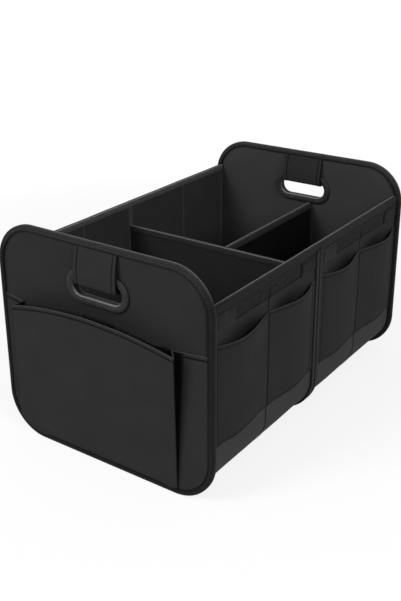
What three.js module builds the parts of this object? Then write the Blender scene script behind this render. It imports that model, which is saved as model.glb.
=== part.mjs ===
// Folding car organizer, open at the top, in millimetres.
// X runs across it, Y from the front end to the rear end, Z up. The origin is under its middle, at the
// height that it stands on. Two stiff end panels with bound edges hold a soft band that makes both side
// walls and the floor. Cloth dividers split the inside, and pockets are sewn on the walls and the ends.
import * as THREE from "three";

// Overall size
const panelWidth = 380;
const panelHeight = 345;
const bodyLength = 580; // over the two end panels, without their pockets
const topRadius = 66; // upper corners of an end panel
const bottomRadius = 66; // lower corners, which the band follows
const wallInset = 7.5; // how far the bound edge stands out past the walls and the floor
const wallDrop = 51; // from the end panels' top down to the walls' top

// Cloth, boards and tapes
const seamGap = 0.3; // between layers that are sewn face to face
const clothThickness = 1;
const pocketThickness = 1.2;
const endBoardThickness = 3;
const bandBoardThickness = 2.5;
const boardMargin = 3; // from a band board's edge to the end of its cloth
const boardRadius = 6;
const endTapeThickness = 1.5;
const endTapeWidth = 9;
const endTapeRounding = 0.7;
const topTapeThickness = 1;
const topTapeWidth = 9;
const middleTapeWidth = 9;
const middleTapeHeight = 3.2;
const middleTapeApart = 0.5; // from the middle seam to the nearest edge of a tape

// Grips in the end panels
const gripWidth = 110;
const gripHeight = 52;
const gripDrop = 41; // from the panel's top down to the ring's
const gripRim = 11;
const gripProud = 4.5;
const gripCollarWall = 2.5;
const strapWidth = 76;
const strapThickness = 2;
const strapSlack = 1.4; // between the strap and the bar that it goes round, at the strap's edges
const strapProud = 1.2; // between the strap and the crown of a ring
const strapSeat = 9; // length that lies flat on the panel below the top seam
const strapRise = 7; // above the ring, where the strap has come out far enough to pass it
const strapTurn = 5; // height of its turn under the bar
const strapEase = 0.75; // how much its corners are eased

// Bellows pocket on each end panel
const endPocketUnderGrip = 7; // from the ring down to the middle of the leaf's edge
const endPocketArch = 18; // rise of its edge from the corners to the middle
const endPocketStripDrop = 4; // from the leaf's corners down to the strip, beside the pleat
const endPocketStripRise = 6; // rise of the strip's edge towards the binding
const endPocketDepth = 24; // how far the leaf's corners stand out at the top
const endPocketBulge = 4; // what the middle of the leaf adds to that
const pleatTopX = 125; // inner fold of the right pleat, from the centre line
const pleatBottomX = 129;
const pleatSpread = 18; // from the inner fold to the leaf's corner, at the top
const leftPleatTopX = 138; // the left pleat lies tighter
const leftPleatBottomX = 139;
const leftPleatSpread = 5;
const pleatBottomSpread = 2;
const pleatRadius = 0.8;
const pleatGap = 0.4; // between the folded layers at the bottom
const pleatEndMargin = 4; // least cloth between the pleat and the binding

// Side walls outside
const facingHeight = 27;
const facingThickness = 0.8;
const patchLength = 44;
const patchHeight = 22;
const patchThickness = 1.5;
const patchRadius = 2;
const patchFromEnd = 38; // from the end panel's outside to the middle of the patch
const patchFromMiddle = 33.5;
const patchDrop = 5; // from the facing's upper edge to a patch
const sidePocketUnderFacing = 19.7;
const sidePocketScoop = 5;
const sidePocketBottom = 88;
const sidePocketDepth = 10;
const sidePocketStrip = 8; // flat cloth along the pockets' outer seams
const pocketSeamY = 143; // the seam between the two pockets of a wall half

// Dividers
const dividerDrop = 42; // from the walls' top down to the dividers'
const dividerBoardThickness = 2.5;
const dividerClothThickness = 0.8;
const dividerTapeWidth = 10;
const longDividerX = 16;

// Steps of the round stretches and of the cloth grids
const cornerSteps = 8;
const gripSteps = 4;
const strapSteps = 26;
const endPocketRows = 9;
const leafColumns = 12;
const foldSteps = 3;
const sidePocketColumns = 11;
const sidePocketRows = 7;

// Heights that follow from the ones above
const wallTop = panelHeight - wallDrop;
const gripTop = panelHeight - gripDrop;
const dividerTop = wallTop - dividerDrop;
const endPocketTop = gripTop - gripHeight - endPocketUnderGrip - endPocketArch; // at the leaf's corners
const endPocketStripTop = endPocketTop - endPocketStripDrop;

// Layers of an end panel, measured inwards from its outermost face
const endClothFace = endTapeThickness + seamGap;
const endBoardFace = endClothFace + clothThickness + seamGap;
const endLiningFace = endBoardFace + endBoardThickness + seamGap;
const endLiningBack = endLiningFace + clothThickness;
const panelThickness = endLiningBack + seamGap + endTapeThickness;
const endLayerInset = endTapeThickness + seamGap;

// Layers of the band, measured inwards from its outer face
const bandBoardFace = clothThickness + seamGap;
const bandLiningFace = bandBoardFace + bandBoardThickness + seamGap;
const bandThickness = bandLiningFace + clothThickness;
const wallX = panelWidth / 2 - wallInset; // outer face of a side wall
const bandEndY = bodyLength / 2 - panelThickness - seamGap;
const liningEndY = bodyLength / 2 - endLiningBack - seamGap;
const layerTop = wallTop - topTapeThickness - seamGap;
const halfSeam = seamGap / 2;
const middleTapeEndY = middleTapeApart + middleTapeWidth;
const stripInnerY = middleTapeEndY + seamGap;
const underTopTape = wallTop - topTapeWidth - seamGap;
const sidePocketTop = underTopTape - facingHeight - sidePocketUnderFacing;

const black = { outer: 0x2d2d2d, inner: 0x232323, tape: 0x1d1d1d, divider: 0x1c1c1c };

function fabric(color) {
  return new THREE.MeshStandardMaterial({ color, roughness: 0.92, metalness: 0 });
}

function stiffBoard() {
  return new THREE.MeshStandardMaterial({ color: 0x3a3a3c, roughness: 0.7, metalness: 0 });
}

function mouldedPlastic() {
  return new THREE.MeshStandardMaterial({ color: 0x3c3c3d, roughness: 0.5, metalness: 0 });
}

function addMesh(group, name, geometry, material) {
  const mesh = new THREE.Mesh(geometry, material);
  mesh.name = name;
  group.add(mesh);
  return mesh;
}

// An arc's points from one angle to another, both included.
function arcPoints(centreX, centreY, radius, from, to, steps) {
  const points = [];
  for (let i = 0; i <= steps; i++) {
    const angle = from + ((to - from) * i) / steps;
    points.push(new THREE.Vector2(centreX + radius * Math.cos(angle), centreY + radius * Math.sin(angle)));
  }
  return points;
}

// A rounded rectangle drawn anticlockwise, a given distance inside its own edge.
function roundedOutline(frame, inset, steps) {
  const { left, right, low, high, lowRadius, highRadius } = frame;
  const corner = (x, y, fullRadius, quarter) => {
    const radius = Math.max(fullRadius - inset, 0.01);
    return arcPoints(x, y, radius, (quarter * Math.PI) / 2, ((quarter + 1) * Math.PI) / 2, steps);
  };
  return [
    ...corner(right - highRadius, high - highRadius, highRadius, 0),
    ...corner(left + highRadius, high - highRadius, highRadius, 1),
    ...corner(left + lowRadius, low + lowRadius, lowRadius, 2),
    ...corner(right - lowRadius, low + lowRadius, lowRadius, 3),
  ];
}

const panelFrame = {
  left: -panelWidth / 2,
  right: panelWidth / 2,
  low: 0,
  high: panelHeight,
  lowRadius: bottomRadius,
  highRadius: topRadius,
};

const gripFrame = {
  left: -gripWidth / 2,
  right: gripWidth / 2,
  low: gripTop - gripHeight,
  high: gripTop,
  lowRadius: gripHeight / 2,
  highRadius: gripHeight / 2,
};

// The band's line in the XZ plane, from one wall's top to the other's, a distance outside its outer face.
function bandLine(offset, top) {
  const x = wallX + offset;
  const floor = wallInset - offset;
  const radius = bottomRadius - wallInset + offset;
  return [
    new THREE.Vector2(-x, top),
    ...arcPoints(-x + radius, floor + radius, radius, Math.PI, 1.5 * Math.PI, cornerSteps),
    ...arcPoints(x - radius, floor + radius, radius, -0.5 * Math.PI, 0, cornerSteps),
    new THREE.Vector2(x, top),
  ];
}

// A flat outline in XZ made into a sheet between two Y values.
function sheetAcross(group, name, shape, lowY, highY, material) {
  const geometry = new THREE.ExtrudeGeometry(shape, { depth: highY - lowY, bevelEnabled: false });
  const mesh = addMesh(group, name, geometry, material);
  mesh.rotation.x = Math.PI / 2;
  mesh.position.y = highY;
  return mesh;
}

// A flat outline in YZ made into a sheet between two X values.
function sheetAlong(group, name, shape, lowX, highX, material) {
  const geometry = new THREE.ExtrudeGeometry(shape, { depth: highX - lowX, bevelEnabled: false });
  const mesh = addMesh(group, name, geometry, material);
  const alongY = new THREE.Vector3(0, 1, 0);
  const alongZ = new THREE.Vector3(0, 0, 1);
  const alongX = new THREE.Vector3(1, 0, 0);
  mesh.quaternion.setFromRotationMatrix(new THREE.Matrix4().makeBasis(alongY, alongZ, alongX));
  mesh.position.x = lowX;
  return mesh;
}

function signedVolume(positions, indices) {
  const corner = (k) => new THREE.Vector3().fromArray(positions, indices[k] * 3);
  let sum = 0;
  for (let k = 0; k < indices.length; k += 3) {
    sum += corner(k).dot(corner(k + 1).cross(corner(k + 2)));
  }
  return sum / 6;
}

// A closed solid through a row of loops, which all have the same even number of points.
// With closed false the first and last loops are capped, point by point across the loop.
function sweptSolid(loops, closed) {
  const count = loops[0].length;
  const positions = loops.flat().flatMap((point) => [point.x, point.y, point.z]);
  const indices = [];
  const quad = (a, b, c, d) => indices.push(a, b, c, a, c, d);
  const spans = closed ? loops.length : loops.length - 1;
  for (let row = 0; row < spans; row++) {
    const near = row * count;
    const far = ((row + 1) % loops.length) * count;
    for (let i = 0; i < count; i++) {
      const next = (i + 1) % count;
      quad(near + i, near + next, far + next, far + i);
    }
  }
  const last = (loops.length - 1) * count;
  for (let i = 0; !closed && i < count / 2 - 1; i++) {
    quad(count - 1 - i, count - 2 - i, i + 1, i);
    quad(last + i, last + i + 1, last + count - 2 - i, last + count - 1 - i);
  }
  if (signedVolume(positions, indices) < 0) {
    indices.reverse();
  }
  const geometry = new THREE.BufferGeometry();
  geometry.setAttribute("position", new THREE.Float32BufferAttribute(positions, 3));
  geometry.setIndex(indices);
  geometry.computeVertexNormals();
  return geometry;
}

// A section of (inset, y) points carried round a closed outline.
function ringSolid(outlineAt, section) {
  const lines = section.map((point) => outlineAt(point.x));
  const loops = lines[0].map((_, i) =>
    section.map((point, j) => new THREE.Vector3(lines[j][i].x, point.y, lines[j][i].y)),
  );
  return sweptSolid(loops, true);
}

// Unit normals on the left of a line of points.
function leftNormals(points) {
  return points.map((point, i) => {
    const before = points[Math.max(i - 1, 0)];
    const after = points[Math.min(i + 1, points.length - 1)];
    const into = point.clone().sub(before).normalize();
    const out = after.clone().sub(point).normalize();
    const along = into.add(out).normalize();
    return new THREE.Vector2(-along.y, along.x);
  });
}

// The loop round a cloth's section: its left face, and then its right face back again.
function clothSection(points, thickness) {
  const normals = leftNormals(points);
  const face = (side) => points.map((p, i) => p.clone().addScaledVector(normals[i], (side * thickness) / 2));
  return [...face(1), ...face(-1).reverse()];
}

function addEndBinding(group, end) {
  const r = endTapeRounding;
  const section = [
    [endTapeWidth, 0],
    [r, 0],
    [0, r],
    [0, panelThickness - r],
    [r, panelThickness],
    [endTapeWidth, panelThickness],
    [endTapeWidth, panelThickness - endTapeThickness],
    [endTapeThickness, panelThickness - endTapeThickness],
    [endTapeThickness, endTapeThickness],
    [endTapeWidth, endTapeThickness],
  ].map(([inset, y]) => new THREE.Vector2(inset, y));
  const geometry = ringSolid((inset) => roundedOutline(panelFrame, inset, cornerSteps), section);
  addMesh(group, `end_binding_${end}`, geometry, fabric(black.tape));
}

// The outline of a panel layer, with the slot that the grip's collar passes through.
function panelLayerShape() {
  const shape = new THREE.Shape(roundedOutline(panelFrame, endLayerInset, cornerSteps));
  const slotInset = gripRim - gripCollarWall - seamGap;
  shape.holes.push(new THREE.Path(roundedOutline(gripFrame, slotInset, gripSteps)));
  return shape;
}

function addEndLayers(group, end) {
  const layers = [
    ["end_cloth", endClothFace, clothThickness, fabric(black.outer)],
    ["end_board", endBoardFace, endBoardThickness, stiffBoard()],
    ["end_lining", endLiningFace, clothThickness, fabric(black.inner)],
  ];
  for (const [name, face, thickness, material] of layers) {
    sheetAcross(group, `${name}_${end}`, panelLayerShape(), face, face + thickness, material);
  }
}

// A grip ring: a crowned rim on the cloth and a collar that reaches half-way through the panel.
function addGripRing(group, name, rimFace, outward) {
  const collarEnd = (endClothFace + endLiningBack) / 2 + (outward * seamGap) / 2;
  const out = (height) => rimFace + outward * height;
  const section = [
    [0, rimFace],
    [0, out(gripProud * 0.35)],
    [gripRim * 0.1, out(gripProud * 0.78)],
    [gripRim * 0.32, out(gripProud)],
    [gripRim * 0.68, out(gripProud)],
    [gripRim * 0.9, out(gripProud * 0.78)],
    [gripRim, out(gripProud * 0.35)],
    [gripRim, collarEnd],
    [gripRim - gripCollarWall, collarEnd],
    [gripRim - gripCollarWall, rimFace],
  ].map(([inset, y]) => new THREE.Vector2(inset, y));
  const geometry = ringSolid((inset) => roundedOutline(gripFrame, inset, gripSteps), section);
  addMesh(group, name, geometry, mouldedPlastic());
}

// The strap's line in YZ: down from the top seam over the outer ring, under the bar and up inside.
function strapLine() {
  const half = strapThickness / 2;
  const outerSeat = endClothFace - seamGap - half;
  const innerSeat = endLiningBack + seamGap + half;
  const outerFace = endClothFace - seamGap - gripProud - strapProud - half;
  const innerFace = endLiningBack + seamGap + gripProud + strapProud + half;
  const seamZ = panelHeight - endTapeWidth - seamGap;
  const slotRadius = gripHeight / 2 - gripRim;
  const pastStraight = Math.max(strapWidth / 2 - (gripWidth - gripHeight) / 2, 0);
  const edgeDrop = slotRadius - Math.sqrt(slotRadius * slotRadius - pastStraight * pastStraight);
  const underBar = gripTop - gripRim - edgeDrop - strapSlack - half;
  const middle = (outerFace + innerFace) / 2;
  const turn = (innerFace - outerFace) / 5;
  const points = [
    [outerSeat, seamZ],
    [outerSeat - strapEase / 2, seamZ - strapSeat],
    [outerFace + strapEase, gripTop + strapRise],
    [outerFace, gripTop - half],
    [outerFace + strapEase, underBar + strapTurn],
    [outerFace + turn, underBar],
    [middle, underBar - strapEase / 4],
    [innerFace - turn, underBar],
    [innerFace - strapEase, underBar + strapTurn],
    [innerFace, gripTop - half],
    [innerFace - strapEase, gripTop + strapRise],
    [innerSeat + strapEase / 2, seamZ - strapSeat],
    [innerSeat, seamZ],
  ].map(([y, z]) => new THREE.Vector2(y, z));
  return new THREE.SplineCurve(points).getPoints(strapSteps);
}

function addStrap(group, end) {
  const shape = new THREE.Shape(clothSection(strapLine(), strapThickness));
  sheetAlong(group, `grip_strap_${end}`, shape, -strapWidth / 2, strapWidth / 2, fabric(black.outer));
}

// How far from the centre line the cloth may reach at a height before it meets the bound edge.
function panelReach(z) {
  const radius = bottomRadius - endTapeWidth - seamGap;
  const below = Math.min(Math.max(bottomRadius - z, 0), radius);
  return panelWidth / 2 - bottomRadius + Math.sqrt(radius * radius - below * below);
}

// Where one side of the bellows pocket folds at a level: its inner fold and the leaf's corner.
function pleatAt(rise, reach, topX, bottomX, spread) {
  const x = Math.min(THREE.MathUtils.lerp(bottomX, topX, rise), reach - pleatEndMargin);
  return { x, cornerX: x + THREE.MathUtils.lerp(pleatBottomSpread, spread, Math.pow(rise, 1.1)) };
}

// One side of the pocket at a level, drawn as on the left, from the binding over both folds to the
// leaf's corner. Each point has its place across, its distance out, and how high its own edge is.
function endPocketSide(pleat, reach, cornerOut) {
  const seat = seamGap + pocketThickness / 2;
  const inner = new THREE.Vector2(-pleat.x - pleatRadius, seat + pleatRadius);
  const corner = new THREE.Vector2(-pleat.cornerX + pleatRadius, cornerOut - pleatRadius);
  const between = corner.clone().sub(inner);
  const heading = between.angle() + Math.asin((2 * pleatRadius) / between.length());
  const quarter = Math.PI / 2;
  const folds = [
    ...arcPoints(inner.x, inner.y, pleatRadius, -quarter, heading - quarter, foldSteps),
    ...arcPoints(corner.x, corner.y, pleatRadius, heading + quarter, quarter, foldSteps),
  ];
  const strip = [new THREE.Vector2(-reach, seat), new THREE.Vector2(-(reach + pleat.x) / 2, seat)];
  return [...strip, ...folds].map((point, i) => {
    const alongPleat = THREE.MathUtils.clamp((i - 1) / folds.length, 0, 1);
    const stripTop = endPocketStripTop + (i < 2 ? (endPocketStripRise * (2 - i)) / 2 : 0);
    return { point, top: THREE.MathUtils.lerp(stripTop, endPocketTop, i < 2 ? 0 : alongPleat) };
  });
}

// One level of the bellows pocket, from the left binding to the right one.
function endPocketLevel(rise) {
  const bottom = endTapeWidth + seamGap;
  const reach = panelReach(bottom + rise * (endPocketStripTop - bottom));
  const folded = seamGap + pocketThickness / 2 + 2 * (pocketThickness + pleatGap);
  const cornerOut = THREE.MathUtils.lerp(folded, endPocketDepth, Math.pow(rise, 1.1));
  const leftPleat = pleatAt(rise, reach, leftPleatTopX, leftPleatBottomX, leftPleatSpread);
  const rightPleat = pleatAt(rise, reach, pleatTopX, pleatBottomX, pleatSpread);
  const left = endPocketSide(leftPleat, reach, cornerOut);
  const right = endPocketSide(rightPleat, reach, cornerOut)
    .map(({ point, top }) => ({ point: new THREE.Vector2(-point.x, point.y), top }))
    .reverse();

  const leaf = [];
  for (let i = 1; i < leafColumns; i++) {
    const share = i / leafColumns;
    const across = 2 * share - 1;
    const x = THREE.MathUtils.lerp(pleatRadius - leftPleat.cornerX, rightPleat.cornerX - pleatRadius, share);
    const crown = Math.cos((across * Math.PI) / 2);
    const point = new THREE.Vector2(x, cornerOut + endPocketBulge * crown * rise);
    leaf.push({ point, top: endPocketTop + endPocketArch * (1 - across * across) });
  }
  return [...left, ...leaf, ...right].map(({ point, top }) => ({
    point,
    z: bottom + rise * (top - bottom),
  }));
}

function addEndPocket(group, end) {
  const loops = [];
  for (let row = 0; row <= endPocketRows; row++) {
    const level = endPocketLevel(Math.pow(row / endPocketRows, 1.6));
    const heights = level.map(({ z }) => z);
    const section = clothSection(level.map(({ point }) => point), pocketThickness);
    const around = [...heights, ...[...heights].reverse()];
    loops.push(section.map((point, i) => new THREE.Vector3(point.x, endClothFace - point.y, around[i])));
  }
  addMesh(group, `end_pocket_${end}`, sweptSolid(loops, false), fabric(black.outer));
}

// One end panel. In its own frame its outermost face is at Y = 0 and Y runs inwards.
function makeEnd(end) {
  const group = new THREE.Group();
  addEndBinding(group, end);
  addEndLayers(group, end);
  addGripRing(group, `grip_ring_outer_${end}`, endClothFace - seamGap, -1);
  addGripRing(group, `grip_ring_inner_${end}`, endLiningBack + seamGap, 1);
  addStrap(group, end);
  addEndPocket(group, end);
  group.position.y = end === "front" ? -bodyLength / 2 : bodyLength / 2;
  group.rotation.z = end === "front" ? 0 : Math.PI;
  return group;
}

// The band's two cloths: each is a U whose section runs between two distances inside its outer face.
function addBandCloth(group, name, face, endY, color) {
  const outline = [...bandLine(-face, layerTop), ...bandLine(-face - clothThickness, layerTop).reverse()];
  sheetAcross(group, name, new THREE.Shape(outline), -endY, -halfSeam, fabric(color));
}

function addFloorBoard(group, half) {
  const reach = wallX - (bottomRadius - wallInset) - boardMargin;
  const frame = {
    left: -reach,
    right: reach,
    low: halfSeam + boardMargin,
    high: bandEndY - boardMargin,
    lowRadius: boardRadius,
    highRadius: boardRadius,
  };
  const shape = new THREE.Shape(roundedOutline(frame, 0, 2));
  const geometry = new THREE.ExtrudeGeometry(shape, { depth: bandBoardThickness, bevelEnabled: false });
  const mesh = addMesh(group, `floor_board_${half}`, geometry, stiffBoard());
  mesh.rotation.z = Math.PI;
  mesh.position.z = wallInset + bandBoardFace;
}

// The tape over the middle seam: a low crowned strip that follows the band's outer face.
function addMiddleTape(group, half) {
  const low = seamGap;
  const high = seamGap + middleTapeHeight;
  const rounding = middleTapeWidth / 5;
  const section = [
    [low, middleTapeApart],
    [low, middleTapeEndY],
    [high - rounding / 2, middleTapeEndY],
    [high, middleTapeEndY - rounding],
    [high, middleTapeApart + rounding],
    [high - rounding / 2, middleTapeApart],
  ].map(([offset, y]) => new THREE.Vector2(offset, -y));
  const lines = section.map((point) => bandLine(point.x, underTopTape));
  const loops = lines[0].map((_, i) =>
    section.map((point, j) => new THREE.Vector3(lines[j][i].x, point.y, lines[j][i].y)),
  );
  addMesh(group, `middle_tape_${half}`, sweptSolid(loops, false), fabric(black.tape));
}

// Half of the band. In its own frame it lies at negative Y.
function makeBandHalf(half) {
  const group = new THREE.Group();
  addBandCloth(group, `band_cloth_${half}`, 0, bandEndY, black.outer);
  addBandCloth(group, `band_lining_${half}`, bandLiningFace, liningEndY, black.inner);
  addFloorBoard(group, half);
  addMiddleTape(group, half);
  group.rotation.z = half === "front" ? 0 : Math.PI;
  return group;
}

function addWallBoard(group, name, side) {
  const frame = {
    left: Math.min(side * (bandEndY - boardMargin), side * (halfSeam + boardMargin)),
    right: Math.max(side * (bandEndY - boardMargin), side * (halfSeam + boardMargin)),
    low: bottomRadius + boardMargin,
    high: layerTop - boardMargin,
    lowRadius: boardRadius,
    highRadius: boardRadius,
  };
  const shape = new THREE.Shape(roundedOutline(frame, 0, 2));
  const outer = wallX - bandBoardFace;
  sheetAlong(group, name, shape, outer - bandBoardThickness, outer, stiffBoard());
}

// The tape folded over the wall's top edge, with a rounded fold.
function addTopTape(group, name, side) {
  const outer = wallX + seamGap + topTapeThickness;
  const inner = wallX - bandThickness - seamGap - topTapeThickness;
  const r = 0.6 * topTapeThickness;
  const low = wallTop - topTapeWidth;
  const points = [
    [outer, low],
    [outer, wallTop - r],
    [outer - r, wallTop],
    [inner + r, wallTop],
    [inner, wallTop - r],
    [inner, low],
    [inner + topTapeThickness, low],
    [inner + topTapeThickness, wallTop - topTapeThickness],
    [outer - topTapeThickness, wallTop - topTapeThickness],
    [outer - topTapeThickness, low],
  ].map(([x, z]) => new THREE.Vector2(x, z));
  const [lowY, highY] = [side * halfSeam, side * bandEndY].sort((a, b) => a - b);
  sheetAcross(group, name, new THREE.Shape(points), lowY, highY, fabric(black.tape));
}

function addFacing(group, name, side) {
  const [left, right] = [side * stripInnerY, side * bandEndY].sort((a, b) => a - b);
  const frame = {
    left,
    right,
    low: underTopTape - facingHeight,
    high: underTopTape,
    lowRadius: patchRadius,
    highRadius: patchRadius,
  };
  const shape = new THREE.Shape(roundedOutline(frame, 0, 1));
  sheetAlong(group, name, shape, wallX + seamGap, wallX + seamGap + facingThickness, fabric(black.outer));
}

function addPatch(group, name, centreY) {
  const high = underTopTape - patchDrop;
  const frame = {
    left: centreY - patchLength / 2,
    right: centreY + patchLength / 2,
    low: high - patchHeight,
    high,
    lowRadius: patchRadius,
    highRadius: patchRadius,
  };
  const face = wallX + 2 * seamGap + facingThickness;
  const shape = new THREE.Shape(roundedOutline(frame, 0, 2));
  sheetAlong(group, name, shape, face, face + patchThickness, fabric(black.tape));
}

// How full a side pocket is along its length, from 0 at its outer seam to 1 at the shared seam:
// it rises steeply beside the flat strip, and falls gently to the seam.
function pocketFullness(along) {
  return Math.pow(Math.max(Math.sin(Math.PI * Math.pow(along, 0.6)), 0), 0.85);
}

// The line of one wall half's pocket cloth at a share of its height: distance along the wall,
// distance out from the wall, and how full the pocket is there.
function sidePocketLine() {
  const outerPocket = { from: bandEndY, to: pocketSeamY };
  const innerPocket = { from: stripInnerY, to: pocketSeamY };
  const halfLine = ({ from, to }) => {
    const toward = Math.sign(to - from);
    const start = from + toward * sidePocketStrip;
    const points = [{ y: from, full: 0 }];
    for (let i = 0; i <= sidePocketColumns; i++) {
      const along = i / sidePocketColumns;
      points.push({ y: THREE.MathUtils.lerp(start, to, along), full: pocketFullness(along) });
    }
    return points;
  };
  const outer = halfLine(outerPocket);
  const inner = halfLine(innerPocket);
  return [...outer, ...inner.slice(0, -1).reverse()];
}

function addSidePockets(group, name, side) {
  const seat = seamGap + pocketThickness / 2;
  const line = sidePocketLine();
  const roll = pocketThickness * 2.4; // the bag's bottom turns under its seam by this much
  const loops = [];
  for (let row = -1; row <= sidePocketRows; row++) {
    const rise = Math.max(row, 0) / sidePocketRows;
    const depth = sidePocketDepth * (0.72 + 0.28 * rise);
    const swell = row < 0 ? 0 : Math.min(1, 0.72 + 0.28 * row);
    const flat = line.map(({ y, full }) => new THREE.Vector2(y, seat + depth * swell * full));
    const heights = line.map(({ full }) => {
      const top = sidePocketTop - sidePocketScoop * full;
      const bottom = row < 0 ? sidePocketBottom : sidePocketBottom - roll * full * (1 - rise);
      const start = bottom + (row < 0 ? 0 : pocketThickness);
      return THREE.MathUtils.lerp(start, top, Math.pow(rise, 1.1));
    });
    const around = [...heights, ...[...heights].reverse()];
    const section = clothSection(flat, pocketThickness);
    loops.push(section.map((point, i) => new THREE.Vector3(wallX + point.y, side * point.x, around[i])));
  }
  addMesh(group, name, sweptSolid(loops, false), fabric(black.outer));
}

// One side wall's own pieces. In its own frame the wall is on the right, at positive X.
function makeWall(wall) {
  const group = new THREE.Group();
  const turned = wall === "left";
  for (const side of [-1, 1]) {
    const half = (side < 0) === turned ? "rear" : "front";
    const place = `${wall}_${half}`;
    addWallBoard(group, `wall_board_${place}`, side);
    addTopTape(group, `wall_top_tape_${place}`, side);
    addFacing(group, `wall_facing_${place}`, side);
    addPatch(group, `fastener_patch_${place}_end`, side * (bodyLength / 2 - patchFromEnd));
    addPatch(group, `fastener_patch_${place}_middle`, side * patchFromMiddle);
    addSidePockets(group, `side_pockets_${place}`, side);
  }
  group.rotation.z = turned ? Math.PI : 0;
  return group;
}

// A divider's board, its two cloths and the tape over its upper edge, from the middle outwards.
const dividerClothFace = dividerBoardThickness / 2 + seamGap;
const dividerTapeFace = dividerClothFace + dividerClothThickness + seamGap;
const dividerHalf = dividerTapeFace + dividerClothThickness;
const floorFace = wallInset + bandThickness + seamGap;

// The tape's section about the divider's middle: across it, and up.
function dividerTapeShape() {
  const low = dividerTop - dividerTapeWidth;
  const r = 0.5 * dividerClothThickness;
  const points = [
    [dividerHalf, low],
    [dividerHalf, dividerTop - r],
    [dividerHalf - r, dividerTop],
    [-dividerHalf + r, dividerTop],
    [-dividerHalf, dividerTop - r],
    [-dividerHalf, low],
    [-dividerTapeFace, low],
    [-dividerTapeFace, dividerTop - dividerClothThickness],
    [dividerTapeFace, dividerTop - dividerClothThickness],
    [dividerTapeFace, low],
  ];
  return new THREE.Shape(points.map(([x, z]) => new THREE.Vector2(x, z)));
}

function makeCrossDivider() {
  const group = new THREE.Group();
  const reach = wallX - bandThickness - seamGap;
  const frame = {
    left: -reach,
    right: reach,
    low: floorFace,
    high: dividerTop - dividerClothThickness - seamGap,
    lowRadius: bottomRadius - wallInset - bandThickness - seamGap,
    highRadius: 1,
  };
  const boardShape = new THREE.Shape(roundedOutline(frame, boardMargin, cornerSteps));
  const clothShape = () => new THREE.Shape(roundedOutline(frame, 0, cornerSteps));
  const half = dividerBoardThickness / 2;
  const outside = dividerClothFace + dividerClothThickness;
  sheetAcross(group, "cross_divider_board", boardShape, -half, half, stiffBoard());
  const cloths = { front: [-outside, -dividerClothFace], rear: [dividerClothFace, outside] };
  for (const [face, [low, high]] of Object.entries(cloths)) {
    sheetAcross(group, `cross_divider_${face}_cloth`, clothShape(), low, high, fabric(black.divider));
  }
  sheetAlong(group, "cross_divider_tape", dividerTapeShape(), -reach, reach, fabric(black.tape));
  return group;
}

function makeLongDivider() {
  const group = new THREE.Group();
  const frame = {
    left: dividerHalf + seamGap,
    right: liningEndY,
    low: floorFace,
    high: dividerTop - dividerClothThickness - seamGap,
    lowRadius: 1,
    highRadius: 1,
  };
  const boardShape = new THREE.Shape(roundedOutline(frame, boardMargin, 1));
  const clothShape = () => new THREE.Shape(roundedOutline(frame, 0, 1));
  const half = dividerBoardThickness / 2;
  const outside = dividerClothFace + dividerClothThickness;
  sheetAlong(group, "long_divider_board", boardShape, -half, half, stiffBoard());
  const cloths = { left: [-outside, -dividerClothFace], right: [dividerClothFace, outside] };
  for (const [face, [low, high]] of Object.entries(cloths)) {
    sheetAlong(group, `long_divider_${face}_cloth`, clothShape(), low, high, fabric(black.divider));
  }
  sheetAcross(group, "long_divider_tape", dividerTapeShape(), frame.left, frame.right, fabric(black.tape));
  group.position.x = longDividerX;
  return group;
}

const organizer = new THREE.Group();
organizer.name = "car_organizer";
for (const end of ["front", "rear"]) {
  organizer.add(makeEnd(end), makeBandHalf(end));
}
for (const wall of ["right", "left"]) {
  organizer.add(makeWall(wall));
}
organizer.add(makeCrossDivider(), makeLongDivider());

export default organizer;
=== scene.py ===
"""Looks of a folding car organizer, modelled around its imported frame.

Lengths are in millimetres in the organizer's own frame: X runs across it, Y from the front end to the
rear end, Z up. Meshes are turned into metres when they are made, and the studio is in metres.
"""

from __future__ import annotations

import logging
import math
from dataclasses import dataclass, field
from enum import Enum
from typing import ClassVar

import bpy
import numpy as np
from mathutils import Matrix, Vector

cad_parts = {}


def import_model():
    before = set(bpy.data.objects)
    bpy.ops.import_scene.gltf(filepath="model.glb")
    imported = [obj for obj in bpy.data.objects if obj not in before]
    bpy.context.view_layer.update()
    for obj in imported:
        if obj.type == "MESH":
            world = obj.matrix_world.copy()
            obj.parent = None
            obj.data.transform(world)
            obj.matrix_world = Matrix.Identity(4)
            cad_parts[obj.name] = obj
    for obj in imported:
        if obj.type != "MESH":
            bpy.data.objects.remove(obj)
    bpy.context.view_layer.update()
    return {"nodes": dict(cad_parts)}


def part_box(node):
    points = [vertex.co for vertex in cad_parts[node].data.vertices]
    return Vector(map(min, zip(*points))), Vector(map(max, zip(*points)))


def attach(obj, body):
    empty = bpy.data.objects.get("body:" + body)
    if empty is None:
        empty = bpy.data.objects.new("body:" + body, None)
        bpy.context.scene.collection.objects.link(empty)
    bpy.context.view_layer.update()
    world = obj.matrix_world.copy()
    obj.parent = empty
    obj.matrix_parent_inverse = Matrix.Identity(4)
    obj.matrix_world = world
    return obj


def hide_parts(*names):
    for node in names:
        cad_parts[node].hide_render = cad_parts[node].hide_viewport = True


log = logging.getLogger("organizer")

MM = 0.001
BODY = "root"
PHOTO_HEIGHT = 601
SENSOR_MM = 36.0
SHARP_DEGREES = 48.0  # edges that turn more than this are shaded sharp

PLACE = "cloth_place"  # where a point lies on the flat cloth, in millimetres
WEAR_AND_HIGHLIGHT = "wear_and_highlight_mark"  # 1 along an edge painted lighter: edge wear, and painted highlights where light catches a fold, lip, crest or seam
PAINTED_SHADE = "painted_shade_mark"  # 1 where shade is painted into the colour: in seams, folds, rib valleys, gaps, the grip's slot and under pocket mouths
PAINTED_FLOOR_LIGHT = "painted_floor_light_mark"  # 1 on the lower band, which is painted lighter for the light that the floor throws up

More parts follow.
